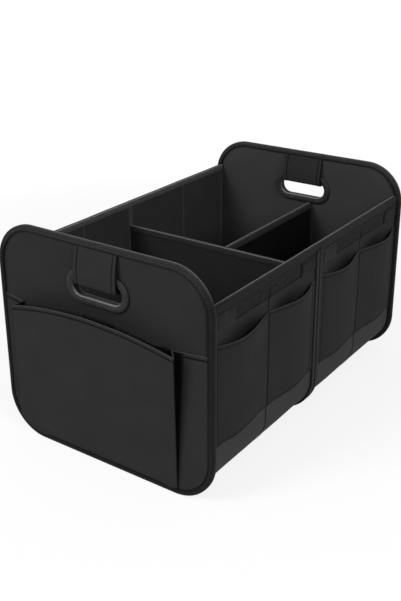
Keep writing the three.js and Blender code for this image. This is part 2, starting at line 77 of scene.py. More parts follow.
OUT = np.array([0.0, -1.0, 0.0])
IN = np.array([0.0, 1.0, 0.0])
SIDEWAYS = np.array([1.0, 0.0, 0.0])

Array = np.ndarray
Socket = bpy.types.NodeSocket


class End(Enum):
    """The two stiff ends of the organizer."""

    FRONT = "front"
    REAR = "rear"


class Side(Enum):
    """The two long side walls."""

    RIGHT = "right"
    LEFT = "left"


class Held(Enum):
    """How a sheet of cloth is held in the finished organizer."""

    STRETCHED = "stretched"
    FOLDED = "folded"
    GATHERED = "gathered"


class Face(Enum):
    """The outside and the inside of an end panel, with the way that each faces along Y."""

    OUTER = -1
    INNER = 1


@dataclass(frozen=True)
class Placement:
    """Where a sub-assembly stands: moved along Y in its own frame, then turned half round or not."""

    turned: bool = False
    ahead: float = 0.0

    def apply(self, points: Array) -> Array:
        """Moves points from the sub-assembly's own frame into the organizer's."""
        placed = points + np.array([0.0, self.ahead, 0.0])
        return placed * np.array([-1.0, -1.0, 1.0]) if self.turned else placed


def node_box(node: str) -> tuple[Array, Array]:
    """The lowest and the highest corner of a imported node, in millimetres."""
    low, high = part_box(node)
    return np.array(low, dtype=float) / MM, np.array(high, dtype=float) / MM


def smooth_step(low: float, high: float, value: Array | float) -> Array:
    """Rises smoothly from 0 at low to 1 at high, which lies below low for a fall."""
    share = np.clip((np.asarray(value, dtype=float) - low) / (high - low), 0.0, 1.0)
    return share * share * (3.0 - 2.0 * share)


def bump_at(centre: float, reach: float, value: Array) -> Array:
    """A soft hill of height 1 about a centre, by how far it reaches to each side."""
    return smooth_step(reach, 0.0, np.abs(value - centre))


def ripple(across: Array, along: Array, size: float, seed: int) -> Array:
    """Soft unevenness of cloth: five long waves that cross at different angles.

    Args:
        across: First coordinate of each point, in millimetres.
        along: Second coordinate of each point, in millimetres.
        size: Typical distance from crest to crest, in millimetres.
        seed: Chooses the waves, which are the same in every run.

    Returns:
        A height from -1 to 1 at each point.
    """
    draw = np.random.default_rng(seed)
    total = np.zeros(np.broadcast(across, along).shape)
    waves = 5
    for _ in range(waves):
        angle = draw.uniform(0.0, 2.0 * math.pi)
        length = size * draw.uniform(0.6, 1.6)
        phase = draw.uniform(0.0, 2.0 * math.pi)
        way = across * math.cos(angle) + along * math.sin(angle)
        total += np.sin(2.0 * math.pi * way / length + phase)
    return total / waves


def unit(vectors: Array) -> Array:
    """Scales vectors in the last axis to length 1."""
    return vectors / np.maximum(np.linalg.norm(vectors, axis=-1, keepdims=True), 1e-12)


def travelled(points: Array) -> Array:
    """The way along a line of points from the first one to each."""
    steps = np.linalg.norm(np.diff(points, axis=0), axis=-1)
    return np.concatenate([[0.0], np.cumsum(steps)])


def by_section(across: Array, along: Array) -> Array:
    """Flat places of a swept piece, by the way round its section and along its line."""
    return np.stack(np.broadcast_arrays(across[None, :], along[:, None]), axis=-1)


def standing(upright: Array, depth: Array | float) -> Array:
    """Stands points that are given across and up at a depth along Y."""
    return np.stack([upright[..., 0], np.broadcast_to(depth, upright.shape[:-1]), upright[..., 1]], axis=-1)


@dataclass(frozen=True)
class Line:
    """A flat line of points, each with its unit normal towards the outside."""

    points: Array
    normals: Array

    def offset(self, distance: float) -> Array:
        """The line's points moved outwards by a distance."""
        return self.points + self.normals * distance

    def lengths(self) -> Array:
        """The distance along the line to each of its points."""
        return travelled(self.points)


def straight(start: tuple, end: tuple, normal: tuple, spacing: float) -> Line:
    """Makes a straight stretch of a line, without its last point.

    Args:
        start: Its first point.
        end: Where it ends.
        normal: Its outward normal.
        spacing: Wanted distance between points.

    Returns:
        The stretch, empty where start and end are the same.
    """
    first, last = np.array(start, dtype=float), np.array(end, dtype=float)
    length = float(np.linalg.norm(last - first))
    count = max(1, round(length / spacing)) if length > 1e-6 else 0
    shares = np.arange(count)[:, None] / max(count, 1)
    return Line(first + shares * (last - first), np.tile(np.array(normal, dtype=float), (count, 1)))


def arc(centre: tuple, radius: float, start: float, end: float, spacing: float) -> Line:
    """Makes a round stretch of a line, without its last point.

    Args:
        centre: The arc's centre.
        radius: Its radius.
        start: Its first angle, in degrees.
        end: Its last angle, in degrees.
        spacing: Wanted distance between points.

    Returns:
        The stretch, with normals that point away from the centre.
    """
    sweep = math.radians(end - start)
    count = max(4, round(abs(sweep) * radius / spacing))
    angles = math.radians(start) + sweep * np.arange(count) / count
    normals = np.stack([np.cos(angles), np.sin(angles)], axis=-1)
    return Line(np.array(centre, dtype=float) + radius * normals, normals)


def joined_line(stretches: list[Line]) -> Line:
    """Joins stretches end to end into one line."""
    points = np.concatenate([stretch.points for stretch in stretches])
    return Line(points, np.concatenate([stretch.normals for stretch in stretches]))


@dataclass(frozen=True)
class RoundedBox:
    """An upright rectangle with round corners, by its limits and its lower and upper radius."""

    left: float
    right: float
    low: float
    high: float
    low_radius: float
    high_radius: float

    def outline(self, spacing: float) -> Line:
        """Walks round the rectangle anticlockwise from its lower right.

        Args:
            spacing: Wanted distance between points.

        Returns:
            The closed outline, with its first point given once.
        """
        r, t = self.low_radius, self.high_radius
        return joined_line(
            [
                straight((self.right, self.low + r), (self.right, self.high - t), (1, 0), spacing),
                arc((self.right - t, self.high - t), t, 0, 90, spacing),
                straight((self.right - t, self.high), (self.left + t, self.high), (0, 1), spacing),
                arc((self.left + t, self.high - t), t, 90, 180, spacing),
                straight((self.left, self.high - t), (self.left, self.low + r), (-1, 0), spacing),
                arc((self.left + r, self.low + r), r, 180, 270, spacing),
                straight((self.left + r, self.low), (self.right - r, self.low), (0, -1), spacing),
                arc((self.right - r, self.low + r), r, 270, 360, spacing),
            ]
        )

    def inside(self, inset: float) -> RoundedBox:
        """The rectangle that lies a distance inside this one."""
        return RoundedBox(
            self.left + inset,
            self.right - inset,
            self.low + inset,
            self.high - inset,
            max(self.low_radius - inset, 0.01),
            max(self.high_radius - inset, 0.01),
        )

    def to_edge(self, across: Array, up: Array) -> Array:
        """How far points inside the rectangle are from its nearest side."""
        beside = np.minimum(across - self.left, self.right - across)
        return np.minimum(beside, np.minimum(up - self.low, self.high - up))

    def eased(self, across: Array, up: Array) -> tuple[Array, Array]:
        """Pulls the points of a square grid in behind the round corners.

        Args:
            across: First coordinate of the grid's points.
            up: Second coordinate of the grid's points.

        Returns:
            Both coordinates after the easing.
        """
        across, up = across.astype(float).copy(), up.astype(float).copy()
        for x_sign, x_limit in ((-1, self.left), (1, self.right)):
            ends = ((-1, self.low, self.low_radius), (1, self.high, self.high_radius))
            for z_sign, z_limit, radius in ends:
                centre_x, centre_z = x_limit - x_sign * radius, z_limit - z_sign * radius
                off_x, off_z = across - centre_x, up - centre_z
                away = np.hypot(off_x, off_z)
                past = (off_x * x_sign > 0) & (off_z * z_sign > 0) & (away > radius)
                scale = np.where(past, radius / np.maximum(away, 1e-9), 1.0)
                across, up = centre_x + off_x * scale, centre_z + off_z * scale
        return across, up


@dataclass
class Shape:
    """A closed mesh in millimetres, with the values at its points that finishes read."""

    points: Array
    quads: Array
    flat: Array
    marks: dict[str, Array] = field(default_factory=dict)

    def outward(self) -> Array:
        """The faces in the order that makes every normal point out of the solid."""
        a, b, c, d = (self.points[self.quads[:, i]] for i in range(4))
        volume = np.einsum("ij,ij->", a, np.cross(b, c)) + np.einsum("ij,ij->", a, np.cross(c, d))
        return self.quads if volume > 0 else self.quads[:, ::-1]

    @staticmethod
    def joined(shapes: list[Shape]) -> Shape:
        """Joins shapes into one.

        Args:
            shapes: The shapes, whose marks are left out.

        Returns:
            One shape with all their faces.
        """
        offsets = np.cumsum([0] + [len(shape.points) for shape in shapes[:-1]])
        quads = [shape.outward() + offset for shape, offset in zip(shapes, offsets)]
        points = np.concatenate([shape.points for shape in shapes])
        return Shape(points, np.concatenate(quads), np.concatenate([shape.flat for shape in shapes]))


def capped(ring: Array) -> Array:
    """Closes a ring of point numbers with quads from its one half to the other."""
    near, far = ring[: len(ring) // 2], ring[len(ring) // 2 :][::-1]
    return np.stack([far[:-1], far[1:], near[1:], near[:-1]], axis=-1)


def swept_shape(
    loops: Array, closed: bool, flat: Array, marks: dict[str, Array] | None = None
) -> Shape:
    """Makes a solid through a row of loops.

    Args:
        loops: Points, by row and by place round the loop.
        closed: Whether the last row joins the first; otherwise both ends are capped.
        flat: The flat place of each point.
        marks: Values of each point, by name.

    Returns:
        The solid.
    """
    rows, count = loops.shape[:2]
    index = np.arange(rows * count).reshape(rows, count)
    near = index if closed else index[:-1]
    far = np.roll(index, -1, axis=0) if closed else index[1:]
    quads = np.stack([near, np.roll(near, -1, axis=1), np.roll(far, -1, axis=1), far], axis=-1).reshape(-1, 4)
    if not closed:
        quads = np.concatenate([quads, capped(index[0]), capped(index[-1])[:, ::-1]])
    values = {name: mark.ravel() for name, mark in (marks or {}).items()}
    return Shape(loops.reshape(-1, 3), quads, flat.reshape(-1, 2), values)


def flat_places(mid: Array) -> Array:
    """Lays a sheet flat by the lengths along its middle row and its middle column."""
    rows, columns = mid.shape[:2]
    return by_section(travelled(mid[rows // 2]), travelled(mid[:, columns // 2]))


def surface_normals(mid: Array, closed: bool) -> Array:
    """Unit normals of a sheet's points.

    Args:
        mid: The sheet's points by row and column.
        closed: Whether the last row joins the first.

    Returns:
        A normal for each point.
    """
    padded = np.concatenate([mid[-1:], mid, mid[:1]]) if closed else mid
    along = np.gradient(padded, axis=0)
    along = along[1:-1] if closed else along
    return unit(np.cross(np.gradient(mid, axis=1), along))


def sheet_shape(
    mid: Array,
    thickness: Array | float,
    closed: bool = False,
    flat: Array | None = None,
    marks: dict[str, Array] | None = None,
) -> Shape:
    """Makes cloth of a thickness about a middle surface, with rounded edges.

    Args:
        mid: Points of the middle surface by row and column.
        thickness: One thickness, or one for each point.
        closed: Whether the last row joins the first.
        flat: The flat place of each point, measured along the sheet when left out.
        marks: Values of each point, by name.

    Returns:
        The closed sheet.
    """
    thick = np.broadcast_to(np.asarray(thickness, dtype=float), mid.shape[:2]).copy()
    normals = surface_normals(mid, closed)
    flat = flat_places(mid) if flat is None else flat
    rows = np.arange(mid.shape[0])
    if not closed:
        rows = np.concatenate([[0], rows, [rows[-1]]])
    spread, thick, normals, flat = mid[rows].copy(), thick[rows], normals[rows], flat[rows]
    if not closed:
        spread[1] += unit(mid[1] - mid[0]) * thick[1][:, None] * 0.3
        spread[-2] += unit(mid[-2] - mid[-1]) * thick[-2][:, None] * 0.3
        thick[[0, -1]] *= 0.45
    left, right = spread[:, :1].copy(), spread[:, -1:].copy()
    rim = thick[:, :, None] * 0.32
    spread[:, :1] += unit(spread[:, 1:2] - left) * rim[:, :1]
    spread[:, -1:] += unit(spread[:, -2:-1] - right) * rim[:, -1:]
    lift = normals * thick[:, :, None] / 2.0
    loops = np.concatenate([left, spread + lift, right, (spread - lift)[:, ::-1]], axis=1)

    def around(values: Array) -> Array:
        """Repeats a sheet's values round each loop."""
        return np.concatenate([values[:, :1], values, values[:, -1:], values[:, ::-1]], axis=1)

    values = {name: around(mark[rows]) for name, mark in (marks or {}).items()}
    return swept_shape(loops, closed, around(flat), values)


@dataclass(frozen=True)
class Thread:
    """Sewing thread, by the size of one stitch and the gap to the next."""

    length: float = 3.1
    gap: float = 1.0
    radius: float = 0.3
    stations: ClassVar[tuple] = ((-0.5, 0.35, -0.9), (-0.22, 0.95, 0.1), (0.22, 0.95, 0.1), (0.5, 0.35, -0.9))
    sides: ClassVar[int] = 6

    def row(self, path: Array, away: Array) -> Shape:
        """Sews along a line.

        Args:
            path: Points on the cloth's surface, in order.
            away: The direction away from the cloth, one for all points or one each.

        Returns:
            The stitches, whose ends dip into the cloth.
        """
        away = np.broadcast_to(away, path.shape)
        along = travelled(path)
        pitch = self.length + self.gap
        count = max(1, int(along[-1] // pitch))
        middles = (np.arange(count) + 0.5) * along[-1] / count

        def at(values: Array, places: Array) -> Array:
            """Looks the line's values up at distances along it."""
            return np.stack([np.interp(places, along, values[:, i]) for i in range(3)], axis=-1)

        up = unit(at(away, middles))
        ahead = unit(at(path, middles + self.length / 2) - at(path, middles - self.length / 2))
        aside = unit(np.cross(ahead, up))
        centre = at(path, middles)
        angles = 2.0 * math.pi * np.arange(self.sides) / self.sides
        rings = []
        for share, fullness, lift in self.stations:
            spine = centre + ahead * share * self.length + up * lift * self.radius
            round_it = aside[:, None] * np.cos(angles)[:, None] + up[:, None] * np.sin(angles)[:, None]
            rings.append(spine[:, None] + round_it * self.radius * fullness)
        loops = np.stack(rings, axis=1)
        flat = np.zeros((len(self.stations), self.sides, 2))
        pieces = [swept_shape(loop, False, flat) for loop in loops]
        return Shape.joined(pieces)


THREAD = Thread()
HEM_THREAD = Thread(3.7, 1.7, 0.5)
PATCH_THREAD = Thread(2.2, 0.7, 0.3)


class Wiring:
    """Adds nodes to a shader tree and joins them."""

    def __init__(self, tree: bpy.types.NodeTree) -> None:
        """Keeps the tree that nodes are added to."""
        self.tree = tree

    def node(self, kind: str, **settings: object) -> bpy.types.Node:
        """Adds a node.

        Args:
            kind: The node's Blender type.
            settings: Properties to set on it.

        Returns:
            The new node, placed to the right of the ones before it.
        """
        made = self.tree.nodes.new(kind)
        made.location = (220 * (len(self.tree.nodes) % 12), -260 * (len(self.tree.nodes) // 12))
        for name, value in settings.items():
            setattr(made, name, value)
        return made

    def feed(self, socket: Socket, value: object) -> None:
        """Joins a socket to another one, or sets its value."""
        if isinstance(value, Socket):
            self.tree.links.new(value, socket)
        else:
            socket.default_value = value

    def math(self, operation: str, *values: object, clamp: bool = False) -> Socket:
        """Adds a Math node.

        Args:
            operation: The node's operation.
            values: Numbers or sockets for its inputs.
            clamp: Whether the result stays between 0 and 1.

        Returns:
            The result.
        """
        made = self.node("ShaderNodeMath", operation=operation, use_clamp=clamp)
        for socket, value in zip(made.inputs, values):
            self.feed(socket, value)
        return made.outputs[0]

    def times(self, first: object, second: object) -> Socket:
        """Multiplies two numbers."""
        return self.math("MULTIPLY", first, second)

    def scaled(self, vector: object, scale: object) -> Socket:
        """Multiplies a vector by a number."""
        made = self.node("ShaderNodeVectorMath", operation="SCALE")
        self.feed(made.inputs[0], vector)
        self.feed(made.inputs["Scale"], scale)
        return made.outputs[0]

    def range(
        self, value: object, low: float, high: float, to_low: float = 0.0, to_high: float = 1.0
    ) -> Socket:
        """Maps a range of values to another one, clamped and smooth.

        Args:
            value: The value to map.
            low: Lower end of its range.
            high: Upper end of its range.
            to_low: What the lower end becomes.
            to_high: What the upper end becomes.

        Returns:
            The mapped value's socket.
        """
        made = self.node("ShaderNodeMapRange", interpolation_type="SMOOTHSTEP")
        names = ("Value", "From Min", "From Max", "To Min", "To Max")
        for name, given in zip(names, (value, low, high, to_low, to_high)):
            self.feed(made.inputs[name], given)
        return made.outputs[0]

    def mix(self, share: object, first: object, second: object) -> Socket:
        """Mixes two colours.

        Args:
            share: How much of the second one.
            first: A colour or its socket.
            second: A colour or its socket.

        Returns:
            The mixed colour's socket.
        """
        made = self.node("ShaderNodeMix", data_type="RGBA")
        self.feed(made.inputs["Factor"], share)
        self.feed(made.inputs[6], first)
        self.feed(made.inputs[7], second)
        return made.outputs[2]

    def noise(self, place: object, scale: object, detail: float = 2.0) -> Socket:
        """Soft noise at a place, from 0 to 1."""
        made = self.node("ShaderNodeTexNoise")
        self.feed(made.inputs["Vector"], place)
        self.feed(made.inputs["Scale"], scale)
        made.inputs["Detail"].default_value = detail
        return made.outputs[0]

    def attribute(self, name: str, output: str = "Fac") -> Socket:
        """Reads a value that the mesh keeps at its points."""
        return self.node("ShaderNodeAttribute", attribute_name=name).outputs[output]

    def split(self, vector: object) -> tuple[Socket, Socket]:
        """The first two coordinates of a vector."""
        made = self.node("ShaderNodeSeparateXYZ")
        self.feed(made.inputs[0], vector)
        return made.outputs[0], made.outputs[1]

    def bump(self, height: object, distance: float, strength: float = 1.0) -> Socket:
        """Turns a height from 0 to 1 into a normal.

        Args:
            height: The height's socket.
            distance: How high 1 is, in metres.
            strength: How much of it shows.

        Returns:
            The normal's socket.
        """
        made = self.node("ShaderNodeBump")
        self.feed(made.inputs["Height"], height)
        made.inputs["Distance"].default_value = distance
        made.inputs["Strength"].default_value = strength
        return made.outputs[0]

    def principled(self, colour: object, roughness: object, normal: object, **constant: float) -> None:
        """Adds the surface shader and its output.

        Args:
            colour: Base colour's socket.
            roughness: Roughness value or socket.
            normal: Normal's socket.
            constant: Values of other sockets, by name with underscores for spaces.
        """
        shader = self.node("ShaderNodeBsdfPrincipled")
        self.feed(shader.inputs["Base Color"], colour)
        self.feed(shader.inputs["Roughness"], roughness)
        self.feed(shader.inputs["Normal"], normal)
        for name, value in constant.items():
            shader.inputs[name.replace("_", " ")].default_value = value
        output = self.node("ShaderNodeOutputMaterial")
        self.feed(output.inputs["Surface"], shader.outputs[0])


class Effect:
    """A shader node group with named inputs and outputs, built once and placed in each material."""

    name: ClassVar[str] = ""
    inputs: ClassVar[dict[str, str]] = {}
    outputs: ClassVar[tuple[str, ...]] = ()

    def wire(self, wiring: Wiring, given: dict[str, Socket]) -> tuple[Socket, ...]:
        """Builds the group's inside.

        Args:
            wiring: The group's own tree.
            given: The group's inputs by name.

        Returns:
            One socket for each of the group's outputs.
        """
        raise NotImplementedError

    def tree(self) -> bpy.types.NodeTree:
        """The group's tree, which is made the first time that it is asked for."""
        found = bpy.data.node_groups.get(self.name)
        if found is not None:
            return found
        made = bpy.data.node_groups.new(self.name, "ShaderNodeTree")
        for name, kind in self.inputs.items():
            made.interface.new_socket(name=name, in_out="INPUT", socket_type=f"NodeSocket{kind}")
        for name in self.outputs:
            made.interface.new_socket(name=name, in_out="OUTPUT", socket_type="NodeSocketFloat")
        wiring = Wiring(made)
        entry = wiring.node("NodeGroupInput")
        results = self.wire(wiring, {name: entry.outputs[name] for name in self.inputs})
        leave = wiring.node("NodeGroupOutput")
        for name, result in zip(self.outputs, results):
            wiring.feed(leave.inputs[name], result)
        return made

    def put(self, wiring: Wiring, **values: object) -> bpy.types.NodeOutputs:
        """Places the group in a material.

        Args:
            wiring: The material's tree.
            values: A value or socket for each of the group's inputs.

        Returns:
            The placed group's outputs.
        """
        made = wiring.node("ShaderNodeGroup", node_tree=self.tree())
        for name, value in values.items():
            wiring.feed(made.inputs[name], value)
        return made.outputs


class WovenThreads(Effect):
    """Plain weave: threads that pass over and under each other."""

    name = "woven_threads"
    inputs = {"Place": "Vector", "Pitch": "Float"}
    outputs = ("Height", "Gap")

    def wire(self, wiring: Wiring, given: dict[str, Socket]) -> tuple[Socket, ...]:
        """Crosses the two sets of threads, and marks the holes between them, which the cloth finish paints
        darker as shade.
        """
        waver = wiring.noise(given["Place"], 0.12, 1.0)
        turns = wiring.math("DIVIDE", math.pi, given["Pitch"])
        across, along = wiring.split(wiring.scaled(given["Place"], turns))
        across = wiring.math("ADD", across, wiring.times(waver, 2.0))
        over = wiring.times(wiring.math("COSINE", across), wiring.math("COSINE", along))
        weft_on_top = wiring.range(over, -0.25, 0.25)
        warp = wiring.math("ABSOLUTE", wiring.math("SINE", across))
        weft = wiring.math("ABSOLUTE", wiring.math("SINE", along))
        gap = wiring.range(wiring.math("MAXIMUM", warp, weft), 0.75, 0.35)
        blend = wiring.node("ShaderNodeMix", data_type="FLOAT")
        wiring.feed(blend.inputs["Factor"], weft_on_top)
        wiring.feed(blend.inputs[2], warp)
        wiring.feed(blend.inputs[3], weft)
        return blend.outputs[0], gap


class ClothTone(Effect):
    """Uneven tone of dyed cloth: soft clouds, faint streaks along the threads, and lint."""

    name = "cloth_tone"
    inputs = {"Place": "Vector", "Cloud": "Float"}
    outputs = ("Tone", "Lint")

    def wire(self, wiring: Wiring, given: dict[str, Socket]) -> tuple[Socket, ...]:
        """Adds clouds to streaks, and picks out the specks of a fine noise."""
        clouds = wiring.noise(given["Place"], wiring.math("DIVIDE", 1.0, given["Cloud"]), 3.0)
        stretch = wiring.node("ShaderNodeMapping")
        wiring.feed(stretch.inputs["Vector"], given["Place"])
        stretch.inputs["Scale"].default_value = (0.9, 0.03, 1.0)
        streaks = wiring.noise(stretch.outputs[0], 1.0, 1.0)
        tone = wiring.math("ADD", wiring.times(clouds, 0.9), wiring.times(streaks, 0.1))
        specks = wiring.noise(given["Place"], 0.9, 0.0)
        return wiring.range(tone, 0.3, 0.7), wiring.range(specks, 0.76, 0.84)


class EdgeWearAndHighlight(Effect):
    """Edge wear and painted highlights: the mark of an edge, broken up by noise."""

    name = "edge_wear_and_highlight"
    inputs = {"Edge": "Float", "Place": "Vector"}
    outputs = ("Worn_And_Lit",)

    def wire(self, wiring: Wiring, given: dict[str, Socket]) -> tuple[Socket, ...]:
        """Lets the noise eat into the edge's mark."""
        broken = wiring.noise(given["Place"], 0.25, 2.0)
        lightened = wiring.times(given["Edge"], wiring.range(broken, 0.25, 0.65, 0.55, 1.0))
        return (wiring.math("MULTIPLY", lightened, 1.0, clamp=True),)


class TapeRibs(Effect):
    """Ribs across a woven tape, slanted a little, with fine threads along it."""

    name = "tape_ribs"
    inputs = {"Place": "Vector", "Pitch": "Float"}
    outputs = ("Height", "Valley")

    def wire(self, wiring: Wiring, given: dict[str, Socket]) -> tuple[Socket, ...]:
        """Lays rounded ribs along the tape and marks the valleys between them."""
        turns = wiring.math("DIVIDE", 2.0 * math.pi, given["Pitch"])
        across, along = wiring.split(wiring.scaled(given["Place"], turns))
        slant = wiring.math("ADD", along, wiring.times(across, 0.45))
        rib = wiring.math("ABSOLUTE", wiring.math("SINE", wiring.times(slant, 0.5)))
        fine = wiring.math("SINE", wiring.times(across, 2.2))
        height = wiring.math("ADD", rib, wiring.times(fine, 0.18))
        return height, wiring.range(rib, 0.45, 0.1)


class FineGrain(Effect):
    """Fine grain of a moulded or pressed surface."""

    name = "fine_grain"
    inputs = {"Place": "Vector", "Size": "Float"}
    outputs = ("Height", "Tone")

    def wire(self, wiring: Wiring, given: dict[str, Socket]) -> tuple[Socket, ...]:
        """Adds two scales of noise."""
        scale = wiring.math("DIVIDE", 1.0, given["Size"])
        grain = wiring.noise(given["Place"], scale, 3.0)
        wide = wiring.noise(given["Place"], wiring.times(scale, 0.03), 2.0)
        return grain, wiring.range(wide, 0.3, 0.7)


WOVEN_THREADS = WovenThreads()
CLOTH_TONE = ClothTone()
EDGE_WEAR_AND_HIGHLIGHT = EdgeWearAndHighlight()
TAPE_RIBS = TapeRibs()
FINE_GRAIN = FineGrain()


def grey(level: float) -> tuple[float, float, float, float]:
    """Turns a grey as a screen shows it into the linear colour that a shader takes.

    Args:
        level: The grey's level on a screen, from 0 to 255.

    Returns:
        The linear colour.
    """
    share = level / 255.0
    linear = share / 12.92 if share <= 0.04045 else ((share + 0.055) / 1.055) ** 2.4
    return (linear, linear, linear, 1.0)


@dataclass(frozen=True)
class Finish:
    """A surface finish. Its material is made once, and its tone is a screen level from 0 to 255."""

    name: str
    slot: str
    level: float

    def material(self) -> bpy.types.Material:
        """The finish's material, which is made the first time that it is asked for."""
        name = f"{self.name}_finish"
        found = bpy.data.materials.get(name)
        if found is not None:
            return found
        made = bpy.data.materials.new(name)
        made.use_nodes = True
        made.node_tree.nodes.clear()
        made.diffuse_color = grey(self.level)
        self.wire(Wiring(made.node_tree))
        return made

    def wire(self, wiring: Wiring) -> None:
        """Builds the material's nodes."""
        raise NotImplementedError

    def toned(self, wiring: Wiring, tone: Socket, spread: float) -> Socket:
        """The finish's colour, uneven by a spread of screen levels to both sides."""
        return wiring.mix(tone, grey(self.level - spread), grey(self.level + spread))

    def worn_and_lit(self, wiring: Wiring, place: Socket) -> Socket:
        """The mask of the piece's edge wear and painted highlights."""
        return EDGE_WEAR_AND_HIGHLIGHT.put(wiring, Edge=wiring.attribute(WEAR_AND_HIGHLIGHT), Place=place)["Worn_And_Lit"]


@dataclass(frozen=True)
class ClothFinish(Finish):
    """Matte woven cloth."""

    pitch: float = 0.9
    spread: float = 1.6
    cloud: float = 70.0
    floor_light_level: float = 66.0
    painted_shade_level: float = 2.0
    wear_and_highlight_level: float = 84.0
    sheen: float = 0.03

    def wire(self, wiring: Wiring) -> None:
        """Weaves the threads over an uneven tone, paints shade into the holes between them, and adds lint,
        painted floor light on the lower band, painted shade in seams and folds, edge wear and painted
        highlights.
        """
        place = wiring.attribute(PLACE, "Vector")
        weave = WOVEN_THREADS.put(wiring, Place=place, Pitch=self.pitch)
        tone = CLOTH_TONE.put(wiring, Place=place, Cloud=self.cloud)
        worn_and_lit = self.worn_and_lit(wiring, place)
        colour = self.toned(wiring, tone["Tone"], self.spread)
        # Painted light: the lower band is painted lighter, standing for the light that the floor throws up.
        colour = wiring.mix(wiring.attribute(PAINTED_FLOOR_LIGHT), colour, grey(self.floor_light_level))
        # Painted shade: the holes between the threads are painted darker.
        colour = wiring.mix(wiring.times(weave["Gap"], 0.5), colour, grey(self.level * 0.6))
        colour = wiring.mix(wiring.times(tone["Lint"], 0.3), colour, grey(self.level + 45.0))
        # Painted shade: seams, folds, gaps and the shade under pocket mouths are painted near black.
        colour = wiring.mix(wiring.attribute(PAINTED_SHADE), colour, grey(self.painted_shade_level))
        # Edge wear and painted highlights lighten the marked edges.
        colour = wiring.mix(worn_and_lit, colour, grey(self.wear_and_highlight_level))
        roughness = wiring.range(weave["Height"], 0.0, 1.0, 0.96, 0.82)
        normal = wiring.bump(weave["Height"], 0.00012, 0.7)
        wiring.principled(
            colour, roughness, normal, Sheen_Weight=self.sheen, Sheen_Roughness=0.5, Specular_IOR_Level=0.02
        )


@dataclass(frozen=True)
class TapeFinish(Finish):
    """Ribbed binding tape."""

    pitch: float = 3.2
    wear_and_highlight_level: float = 92.0
    sheen: float = 0.06

    def wire(self, wiring: Wiring) -> None:
        """Ribs the tape, with painted shade in its valleys and painted highlights on its crests and along its
        fold.
        """
        place = wiring.attribute(PLACE, "Vector")
        ribs = TAPE_RIBS.put(wiring, Place=place, Pitch=self.pitch)
        tone = CLOTH_TONE.put(wiring, Place=place, Cloud=45.0)
        worn_and_lit = self.worn_and_lit(wiring, place)
        colour = self.toned(wiring, tone["Tone"], 3.0)
        # Painted shade in the valleys between the ribs.
        colour = wiring.mix(wiring.attribute(PAINTED_SHADE), colour, grey(self.level * 0.2))
        colour = wiring.mix(wiring.times(tone["Lint"], 0.2), colour, grey(self.level + 40.0))
        # Painted highlights on the lit rib crests and folds, with edge wear.
        colour = wiring.mix(worn_and_lit, colour, grey(self.wear_and_highlight_level))
        roughness = wiring.range(ribs["Height"], 0.0, 1.0, 0.9, 0.66)
        normal = wiring.bump(ribs["Height"], 0.0001, 0.5)
        wiring.principled(
            colour, roughness, normal, Sheen_Weight=self.sheen, Sheen_Roughness=0.45, Specular_IOR_Level=0.06
        )


@dataclass(frozen=True)
class PileFinish(Finish):
    """Hook or loop fastener, by the size of its tufts."""

    tuft: float = 1.1
    tip_level: float = 60.0

    def wire(self, wiring: Wiring) -> None:
        """Stands tufts on a dark base."""
        place = wiring.attribute(PLACE, "Vector")
        cells = wiring.node("ShaderNodeTexVoronoi")
        wiring.feed(cells.inputs["Vector"], place)
        cells.inputs["Scale"].default_value = 1.0 / self.tuft
        tips = wiring.range(cells.outputs["Distance"], 0.55, 0.05)
        fuzz = FINE_GRAIN.put(wiring, Place=place, Size=0.7)
        worn_and_lit = self.worn_and_lit(wiring, place)
        colour = wiring.mix(tips, grey(self.level * 0.5), grey(self.level))
        colour = wiring.mix(wiring.times(fuzz["Tone"], 0.3), colour, grey(self.level + 12.0))
        colour = wiring.mix(worn_and_lit, colour, grey(self.tip_level))
        height = wiring.math("ADD", tips, wiring.times(fuzz["Height"], 0.6))
        normal = wiring.bump(height, 0.0004, 0.8)
        roughness = wiring.range(fuzz["Height"], 0.3, 0.7, 0.85, 0.98)
        sheen = {"Sheen_Weight": 0.1, "Sheen_Roughness": 0.4}
        wiring.principled(colour, roughness, normal, Specular_IOR_Level=0.15, **sheen)


@dataclass(frozen=True)
class MouldedFinish(Finish):
    """Moulded plastic with a fine grain, a painted highlight along its lip and painted shade in its slot."""

    grain: float = 0.5
    gloss: float = 0.5
    wear_and_highlight_level: float = 150.0
    depth: float = 0.00006

    def wire(self, wiring: Wiring) -> None:
        """Grains the surface, paints shade at its contact edge and in its slot, and paints a highlight along
        its lip.
        """
        place = wiring.attribute(PLACE, "Vector")
        grain = FINE_GRAIN.put(wiring, Place=place, Size=self.grain)
        worn_and_lit = self.worn_and_lit(wiring, place)
        colour = self.toned(wiring, grain["Tone"], 4.0)
        # Painted shade at the rim's contact edge and over the collar inside the slot.
        colour = wiring.mix(wiring.attribute(PAINTED_SHADE), colour, grey(self.level * 0.15))
        # Painted highlight along the lip.
        colour = wiring.mix(worn_and_lit, colour, grey(self.wear_and_highlight_level))
        roughness = wiring.range(grain["Height"], 0.3, 0.7, self.gloss - 0.06, self.gloss + 0.08)
        normal = wiring.bump(grain["Height"], self.depth, 0.6)
        wiring.principled(colour, roughness, normal, Specular_IOR_Level=0.1)


@dataclass(frozen=True)
class BoardFinish(Finish):
    """Stiff board inside the cloth, finished by its place in the organizer."""

    def wire(self, wiring: Wiring) -> None:
        """Grains the board with pressed fibres."""
        place = wiring.scaled(wiring.node("ShaderNodeTexCoord").outputs["Object"], 1.0 / MM)
        grain = FINE_GRAIN.put(wiring, Place=place, Size=1.2)
        colour = self.toned(wiring, grain["Tone"], 6.0)
        roughness = wiring.range(grain["Height"], 0.3, 0.7, 0.65, 0.85)
        wiring.principled(colour, roughness, wiring.bump(grain["Height"], 0.0001, 0.6))


